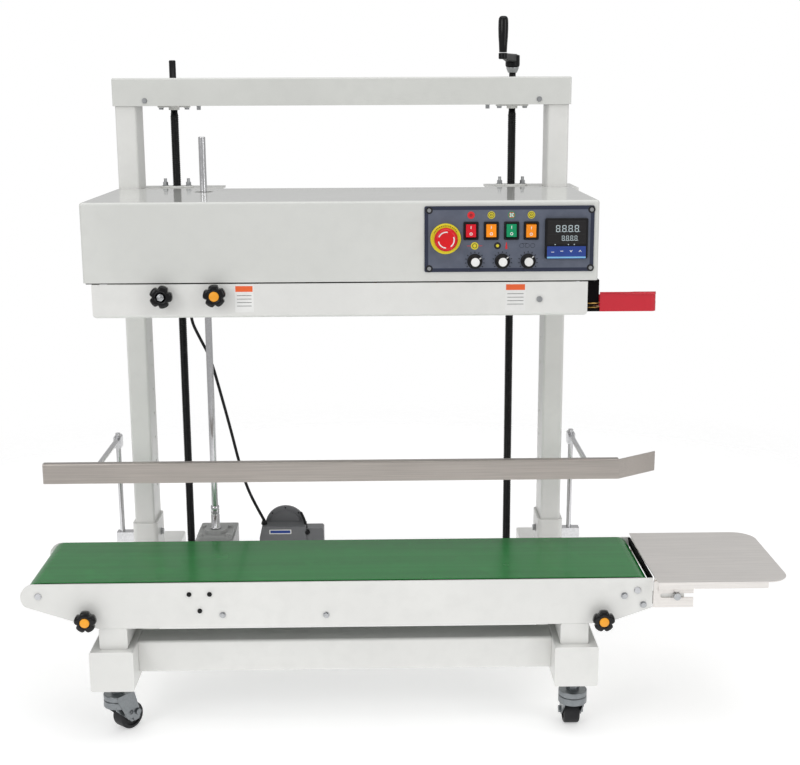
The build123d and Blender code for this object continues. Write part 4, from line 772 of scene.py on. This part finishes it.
POT_CAP_PROFILE_MM = ((0, 0), (0, 7.4), (1.0, 7.4), (1.7, 6.6), (1.8, 0))
ROCKER_PIVOT_MM, ROCKER_HALF_MM, ROCKER_RISE_MM, ROCKER_FACE_MM = 1.0, 10.9, 1.6, 3.25
ROCKER_TILT = math.radians(7.0)


def make_panel_print():
    """Printed marks on the panel: plain function symbols and dial ticks; and dark rings painted as the shade
    in the sunk rings round its screws.
    """
    keys = ["ink", "red", "yellow", "green", "white_print", "rocker_red"]
    ink, red, yellow, green, white, bright = range(len(keys))

    def on(x_mm, z_mm, lift=0.0):
        return at(x_mm, PANEL_Y_MM - lift, z_mm)

    def switch_symbols(work):
        for x, colour in zip(SWITCHES_MM, (red, yellow, green, yellow)):
            top = on(x, ICON_Z_MM, INK_STEP)
            disc(work, on(x, ICON_Z_MM), ICON_R, INK_STEP, colour)
            arc(work, top, 4.0, 5.0, 0, 360, 0.06, ink if colour == yellow else bright)
            arc(work, top, 1.2, 2.2, 0, 360, 0.06, white if colour == green else ink)
            if colour == green:
                for turn in (45, 135, 225, 315):
                    disc(work, top + facing(turn) * 3.4 * MM, 1.1, 0.08, white, 12)

    def dial_symbols(work):
        bar(work, on(229.5, POT_ICON_Z_MM), 26.0, 0.9, INK_T, red)
        disc(work, on(229.5, POT_ICON_Z_MM), ICON_R, INK_STEP, yellow)
        arc(work, on(229.5, POT_ICON_Z_MM, INK_STEP), 3.2, 4.2, 0, 360, 0.06, ink)
        disc(work, on(268.5, POT_ICON_Z_MM), 6.0, INK_STEP, ink)
        disc(work, on(268.5, POT_ICON_Z_MM, INK_STEP), 2.6, 0.06, yellow, 20)
        wedge = [on(x, z) for x, z in ((281.6, 882.0), (285.6, 882.0), (284.1, 893.5), (283.1, 893.5))]
        prism(work, wedge, FRONT * INK_STEP * MM, red)
        for x in (309.8, 319.2, 328.6):
            arc(work, on(x, POT_ICON_Z_MM), 3.3, 3.9, 0, 360, INK_T, ink)
        bar(work, on(314.5, 891.2), 9.0, 0.6, INK_T, ink)

    def marks(work):
        switch_symbols(work)
        dial_symbols(work)
        for x in POTS_MM:
            for step in range(13):
                way = facing(240 - 25 * step) * MM
                stroke(work, on(x, POT_Z_MM) + way * 14.4, on(x, POT_Z_MM) + way * 17.0, 0.7, INK_T, ink)
        # dark rings painted as the shade in the sunk rings round the panel screws
        for place in PANEL_SCREWS_MM:
            arc(work, on(*place), 3.3, 6.2, 0, 360, INK_T, ink)
    piece("panel_print", marks, keys, "head", smooth=False)


def make_bezels():
    """Rocker bezels and the emergency stop's yellow collar."""
    def frames(work):
        for x in SWITCHES_MM:
            loops = [rounded_outline(at(x, BEZEL_Y_MM + behind, SWITCH_Z_MM), width, height, corner)
                     for width, height, corner, behind in BEZEL_LOOPS_MM]
            loft(work, loops, first_cap=False)
        centre = at(ESTOP_X_MM, BEZEL_Y_MM, ESTOP_Z_MM)
        lathe(work, centre, FRONT, YELLOW_RING_PROFILE_MM, 64, 1)
        for step in range(15):
            arc(work, centre + FRONT * 2.75 * MM, 21.6, 23.6, 32 + 8.4 * step, 4.4, 0.2, 2)
    shown = piece("bezels", frames, ["black_plastic", "yellow", "ink"], "head")
    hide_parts("switch_bezels")


def make_rocker_marks():
    """White I and O marks on the two slopes of each rocker."""
    for number, x in enumerate(SWITCHES_MM, start=1):
        pivot = at(x, PANEL_Y_MM + ROCKER_PIVOT_MM, SWITCH_Z_MM)
        tilt = ROCKER_TILT * (-1 if number == len(SWITCHES_MM) else 1)
        outward = Vector((0, -math.cos(tilt), math.sin(tilt)))
        along = Vector((0, math.sin(tilt), math.cos(tilt)))

        def marks(work):
            for end in (1, -1):
                slope = (along * ROCKER_HALF_MM + outward * ROCKER_RISE_MM * end).normalized()
                lift = ROCKER_FACE_MM + ROCKER_RISE_MM / 2
                centre = pivot + (outward * lift + along * ROCKER_HALF_MM * end / 2) * MM
                if end > 0:
                    bar(work, centre, 1.2, 4.8, 0.25, up=slope)
                else:
                    arc(work, centre, 1.5, 2.6, 0, 360, 0.25, up=slope, steps=20)
        piece(f"rocker_marks_{number}", marks, "white_print", f"rocker_switch_{number}", smooth=False)


def make_estop():
    """Mushroom button with a dished face and three turn-to-release marks."""
    centre = at(ESTOP_X_MM, PANEL_Y_MM, ESTOP_Z_MM)
    shown = piece("estop_mushroom", lambda work: lathe(work, centre, FRONT, MUSHROOM_PROFILE_MM, 72), "red",
                  "estop_button")
    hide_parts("estop_button")

    def arrows(work):
        for start in (80, -55, 190):
            arc(work, centre + FRONT * 21.85 * MM, 12.3, 14.3, start, 78, 0.15)
    piece("estop_arrows", arrows, "white_print", "estop_button", smooth=False)


def make_pots():
    """Speed knobs: a black ribbed skirt, a white cap and a white pointer."""
    for number, x in enumerate(POTS_MM, start=1):
        centre = at(x, PANEL_Y_MM, POT_Z_MM)
        body = f"speed_knob_{number}"

        def skirt(work):
            lathe(work, centre, FRONT, SKIRT_PROFILE_MM, 48)
            for step in range(24):
                way = facing(360 * step / 24) * MM
                side = way.cross(FRONT)
                foot = centre + way * 7.8 + FRONT * 3.4 * MM
                rib = [foot - side * 0.45, foot + side * 0.45, foot + side * 0.25 + way * 0.5,
                       foot + way * 0.5 - side * 0.25]
                prism(work, rib, FRONT * 8.2 * MM)
        shown = piece(f"pot_{number}", skirt, "black_plastic", body)
        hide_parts(body)

        def cap(work):
            lathe(work, centre + FRONT * 12.62 * MM, FRONT, POT_CAP_PROFILE_MM, 40)
            way = facing(24 + 6 * number)
            near, far = (centre + (way * out + FRONT * lift) * MM for out, lift in ((7.0, 3.5), (12.4, 2.3)))
            stroke(work, near, far, 0.9, 0.6)
        piece(f"pot_cap_{number}", cap, "white_print", body)


KEY_SHAPES_MM = (
    (362.0, ((-2.6, -1.6), (2.6, -1.6))),
    (377.6, ((-2.6, 0), (2.4, 0))),
    (393.2, ((-2, 1.4), (0, -1.6), (2, 1.4))),
    (408.8, ((-2, -1.4), (0, 1.6), (2, -1.4))),
)


def make_controller_face():
    """Temperature controller's front: window, two rows of figures, lamps and a strip of four keys."""
    keys = ["black_plastic", "display", "digit_pale", "key_blue", "key_light", "white_print"]
    dark, window, pale, blue, light, white = range(len(keys))
    glass, film, key_z = 0.45, 0.06, 878.4

    def on(x_mm, z_mm, lift=0.0):
        return at(x_mm, METER_FACE_MM - lift, z_mm)

    def figure(work, x, z, width, height):
        """One seven-segment figure with its point."""
        segment = width * 0.17
        for level in (-1, 0, 1):
            bar(work, on(x, z + level * (height - segment) / 2, glass), width * 0.62, segment, film, pale)
        for side in (-1, 1):
            for level in (-1, 1):
                centre = on(x + side * (width - segment) / 2, z + level * height / 4, glass)
                bar(work, centre, segment, height * 0.4, film, pale)
        disc(work, on(x + width * 0.72, z - height / 2 + 0.6, glass), 0.6, film, pale, 10)

    def face(work):
        bar(work, on(METER_X_MM, 910.5), 66.0, 41.5, glass, window, 1.5)
        bar(work, on(METER_X_MM, 876.0), 66.0, 21.0, 0.4, blue, 1.0)
        bar(work, on(METER_X_MM, 867.6, 0.4), 66.0, 2.6, INK_T, light)
        for z in (928.5, 906.9, 892.8):
            bar(work, on(METER_X_MM, z, glass), 64.0, 0.35, 0.05, dark)
        for index in range(4):
            figure(work, 370.5 + 10.6 * index, 916.6, 6.8, 11.6)
            figure(work, 379.5 + 7.2 * index, 900.3, 4.6, 8.6)
            bar(work, on(KEY_SHAPES_MM[index][0], key_z, 0.4), 11.5, 9.0, 0.5, blue, 2.0)
        for x in (366.0, 388.5, 398.5):
            disc(work, on(x, 889.6, glass), 0.9, film, pale, 12)
        for key_x, shape in KEY_SHAPES_MM:
            points = [on(key_x + x, key_z + z, 0.9) for x, z in shape]
            for first, second in zip(points, points[1:]):
                stroke(work, first, second, 0.45, film, white)
    piece("controller_face", face, keys, "head", smooth=False)


make_panel_print()
make_bezels()
make_rocker_marks()
make_estop()
make_pots()
make_controller_face()


# ---- labels, nameplate, small fittings and painted shade in gaps
LABELS_MM = ((-181.0, -149.0, 775.5, 822.5), (283.0, 318.0, 775.0, 822.5))
MOTOR_AXIS_MM, MOTOR_SCREW_CIRCLE_MM = (-130.0, 37.2, 269.5), 38.0
WIRE_ROUTE_MM = ((-98.0, 35.5, 298.0), (-94.0, 31.0, 291.0), (-90.0, 23.0, 284.0), (-87.0, 13.0, 277.0),
                 (-84.6, 4.0, 270.0), (-84.0, 0.0, 267.0))
WIRE_GLAND_PROFILE_MM = ((0, 0), (0, 6.0), (3.5, 6.0), (4.2, 5.2), (4.2, 0))
CABLE_GLAND_PROFILE_MM = ((0, 0), (0, 6.2), (3.0, 6.2), (3.6, 5.6), (7.4, 5.0), (8.2, 3.2), (8.2, 0))
MOTOR_SCREW_PROFILE_MM = ((0, 0), (0, 1.7), (0.6, 1.7), (0.9, 1.2), (0.9, 0))
LIP_ROUTE_MM = ((451.0, -305.4, 800.6), (539.0, -305.4, 800.6), (542.0, -305.2, 800.6),
                (545.0, -303.8, 800.6), (546.4, -302.6, 800.6))
SHAFT_X_MM, SHAFT_Y_MM = -259.0, -85.0
SLEEVE_PROFILE_MM = ((306.3, 6.6), (306.3, 10.5), (309.5, 10.5), (310, 8.4), (334, 8.4), (334.6, 7.4),
                     (338, 7.4), (338.6, 8.4), (352, 8.4), (353, 7.6), (353, 6.6))
# outline of the dark strip painted as the shade in the gap at the belt's end
GAP_SHADE_OUTLINE_MM = ((544.6, 288.0), (547.4, 288.0), (547.4, 302.6), (542.5, 302.6), (544.0, 296.0))


def slab(work, left, right, front, rear, low, high):
    """Rectangular block between limits in millimetres."""
    outline = [at(x, y, low) for x, y in ((left, front), (left, rear), (right, rear), (right, front))]
    prism(work, outline, UP * (high - low) * MM)


def make_labels():
    """Blank labels with an orange header on the lower cover, and a blank plate on the terminal box."""
    def labels(work):
        for left, right, low, high in LABELS_MM:
            x, width = (left + right) / 2, right - left
            bar(work, at(x, HEAD_FACE_MM, (low + high) / 2), width, high - low, INK_STEP, 0, 1.0)
            bar(work, at(x, HEAD_FACE_MM - INK_STEP, high - 6.5), width - 2.4, 10.0, 0.05, 1)
            for row in range(4):
                bar(work, at(x, HEAD_FACE_MM - INK_STEP, high - 18.0 - 6.0 * row), width - 7.0, 0.8, 0.05, 2)
    piece("cover_labels", labels, ["label_white", "label_orange", "ink"], "head", smooth=False)

    def nameplate(work):
        bar(work, at(-138.5, -2.0, 268.8), 45.0, 9.4, 0.5, 0, 1.2)
        bar(work, at(-138.5, -2.5, 268.8), 40.5, 5.8, INK_T, 1, 0.8)
    piece("motor_nameplate", nameplate, ["label_white", "key_blue"], "stand", smooth=False)


def make_motor_details():
    """Flange screws, two cable glands and the short wire between the motor and its side box."""
    def wire(work):
        tube_along(work, [at(*point) for point in WIRE_ROUTE_MM], 2.6)
    piece("motor_wire", wire, "cable", "stand")

    def gland(work):
        lathe(work, at(-84.0, 2.2, 267.0), FRONT, WIRE_GLAND_PROFILE_MM, 6)
        lathe(work, at(-172.5, 18.0, 279.0), UP, CABLE_GLAND_PROFILE_MM, 24)
    piece("cable_glands", gland, "black_plastic", "stand", 0.3)

    def screws(work):
        for turn in (0, 45, 90, 135, 180):
            place = at(*MOTOR_AXIS_MM) + facing(turn) * MOTOR_SCREW_CIRCLE_MM * MM
            lathe(work, place, FRONT, MOTOR_SCREW_PROFILE_MM, 12)
    piece("flange_screws", screws, "black_steel", "stand")


def make_infeed_details():
    """Near-black blocks painted as the shade at the end of the band channel between the lower cover and the
    guard, with its brass guides.
    """
    def channel(work):
        # near-black blocks painted as the shade inside the end of the band channel
        slab(work, 426.5, 449.0, -300.0, -276.0, 779.0, 824.0)
        slab(work, 426.5, 449.0, -246.0, -222.0, 779.0, 824.0)
    piece("channel_end_shade", channel, "dark_gap", "head", 0.4)

    def guides(work):
        slab(work, 426.5, 451.0, -302.0, -276.0, 774.6, 776.4)
        slab(work, 426.5, 451.0, -302.0, -276.0, 782.0, 784.0)
    piece("channel_guides", guides, "brass", "head")

    def lip(work):
        tube_along(work, [at(*point) for point in LIP_ROUTE_MM], 1.9, 12)
    piece("guard_lip", lip, "guard", "head")


def make_shaft_sleeve():
    """Turned sleeve with a set collar where the drive shaft stands in its bearing."""
    foot = at(SHAFT_X_MM, SHAFT_Y_MM, 0.0)
    piece("shaft_sleeve", lambda work: lathe(work, foot, UP, SLEEVE_PROFILE_MM, 40), "chrome", "drive_shaft")


def make_belt_gap_shade():
    """Dark strip painted as the shade in the gap between the belt's end and the tray."""
    def strip(work):
        prism(work, [at(x, -367.5, z) for x, z in GAP_SHADE_OUTLINE_MM], REAR * 212.0 * MM)
    piece("belt_gap_shade", strip, "dark_gap", "stand")


make_labels()
make_motor_details()
make_infeed_details()
make_shaft_sleeve()
make_belt_gap_shade()


# ---- floor, lights and world
WHITE = (1.0, 1.0, 1.0, 1.0)
FILL_STRENGTH, FLOOR_GLOW = 0.52, 0.4
FLOOR_HALF, FLOOR_TOP, FLOOR_T, FLOOR_FADE = 4.0, -0.0001, 0.0199, (1.0, 2.4)
FLOOR_TONES = [(0.3, (0.86, 0.86, 0.86, 1)), (0.7, (0.89, 0.89, 0.89, 1))]
# name, place, target, width, height and power of each soft box
SOFT_BOXES = (
    ("top_box", (0.0, -0.6, 3.4), (0.0, 0.0, 0.6), 3.2, 2.4, 30.0),
    ("front_left_box", (-2.4, -3.0, 2.2), (0.0, 0.0, 0.7), 1.6, 2.0, 30.0),
    ("front_right_box", (2.6, -2.6, 1.8), (0.0, 0.0, 0.6), 1.2, 2.0, 18.0),
)


def make_floor():
    """Pale floor that fades out into the white surroundings."""
    ground = Surface("floor", 0.6, Emission_Color=WHITE, Emission_Strength=FLOOR_GLOW)
    ground.colour(ground.ramp(ground.noise(2.0, 3.0), FLOOR_TONES))
    far = ground.node("ShaderNodeVectorMath", operation="LENGTH")
    ground.link(ground.place, far.inputs[0])
    fade = ground.node("ShaderNodeMixShader")
    ground.link(ground.spread(far.outputs["Value"], 0.0, 1.0, *FLOOR_FADE), fade.inputs[0])
    ground.link(ground.shader.outputs[0], fade.inputs[1])
    ground.link(ground.node("ShaderNodeBsdfTransparent").outputs[0], fade.inputs[2])
    ground.link(fade.outputs[0], ground.tree.nodes["Material Output"].inputs["Surface"])

    def floor(work):
        corners = [Vector((x, y, 0)) * FLOOR_HALF for x, y in ((-1, -1), (1, -1), (1, 1), (-1, 1))]
        prism(work, [corner + UP * (FLOOR_TOP - FLOOR_T) for corner in corners], UP * FLOOR_T)
    stand = build("floor", floor, [ground.material], smooth=False)


def make_world():
    """White surroundings whose light on the machine is weaker than what the camera sees."""
    world = bpy.data.worlds.new("studio")
    world.use_nodes = True
    tree = world.node_tree
    blend = tree.nodes.new("ShaderNodeMixShader")
    tree.links.new(tree.nodes.new("ShaderNodeLightPath").outputs["Is Camera Ray"], blend.inputs[0])
    seen, fill = tree.nodes["Background"], tree.nodes.new("ShaderNodeBackground")
    for background, strength, socket in ((fill, FILL_STRENGTH, 1), (seen, 1.0, 2)):
        background.inputs["Color"].default_value = WHITE
        background.inputs["Strength"].default_value = strength
        tree.links.new(background.outputs[0], blend.inputs[socket])
    tree.links.new(blend.outputs[0], tree.nodes["World Output"].inputs["Surface"])
    scene.world = world


def make_lights():
    """Large soft boxes above and in front, each facing its target."""
    for name, place, target, width, height, power in SOFT_BOXES:
        data = bpy.data.lights.new(name, "AREA")
        data.shape, data.size, data.size_y, data.energy = "RECTANGLE", width, height, power
        lamp = bpy.data.objects.new(name, data)
        lamp.location = place
        lamp.rotation_mode = "QUATERNION"
        lamp.rotation_quaternion = (Vector(target) - Vector(place)).to_track_quat("-Z", "Y")
        scene.collection.objects.link(lamp)


make_floor()
make_world()
make_lights()
scene.view_settings.view_transform = "Standard"
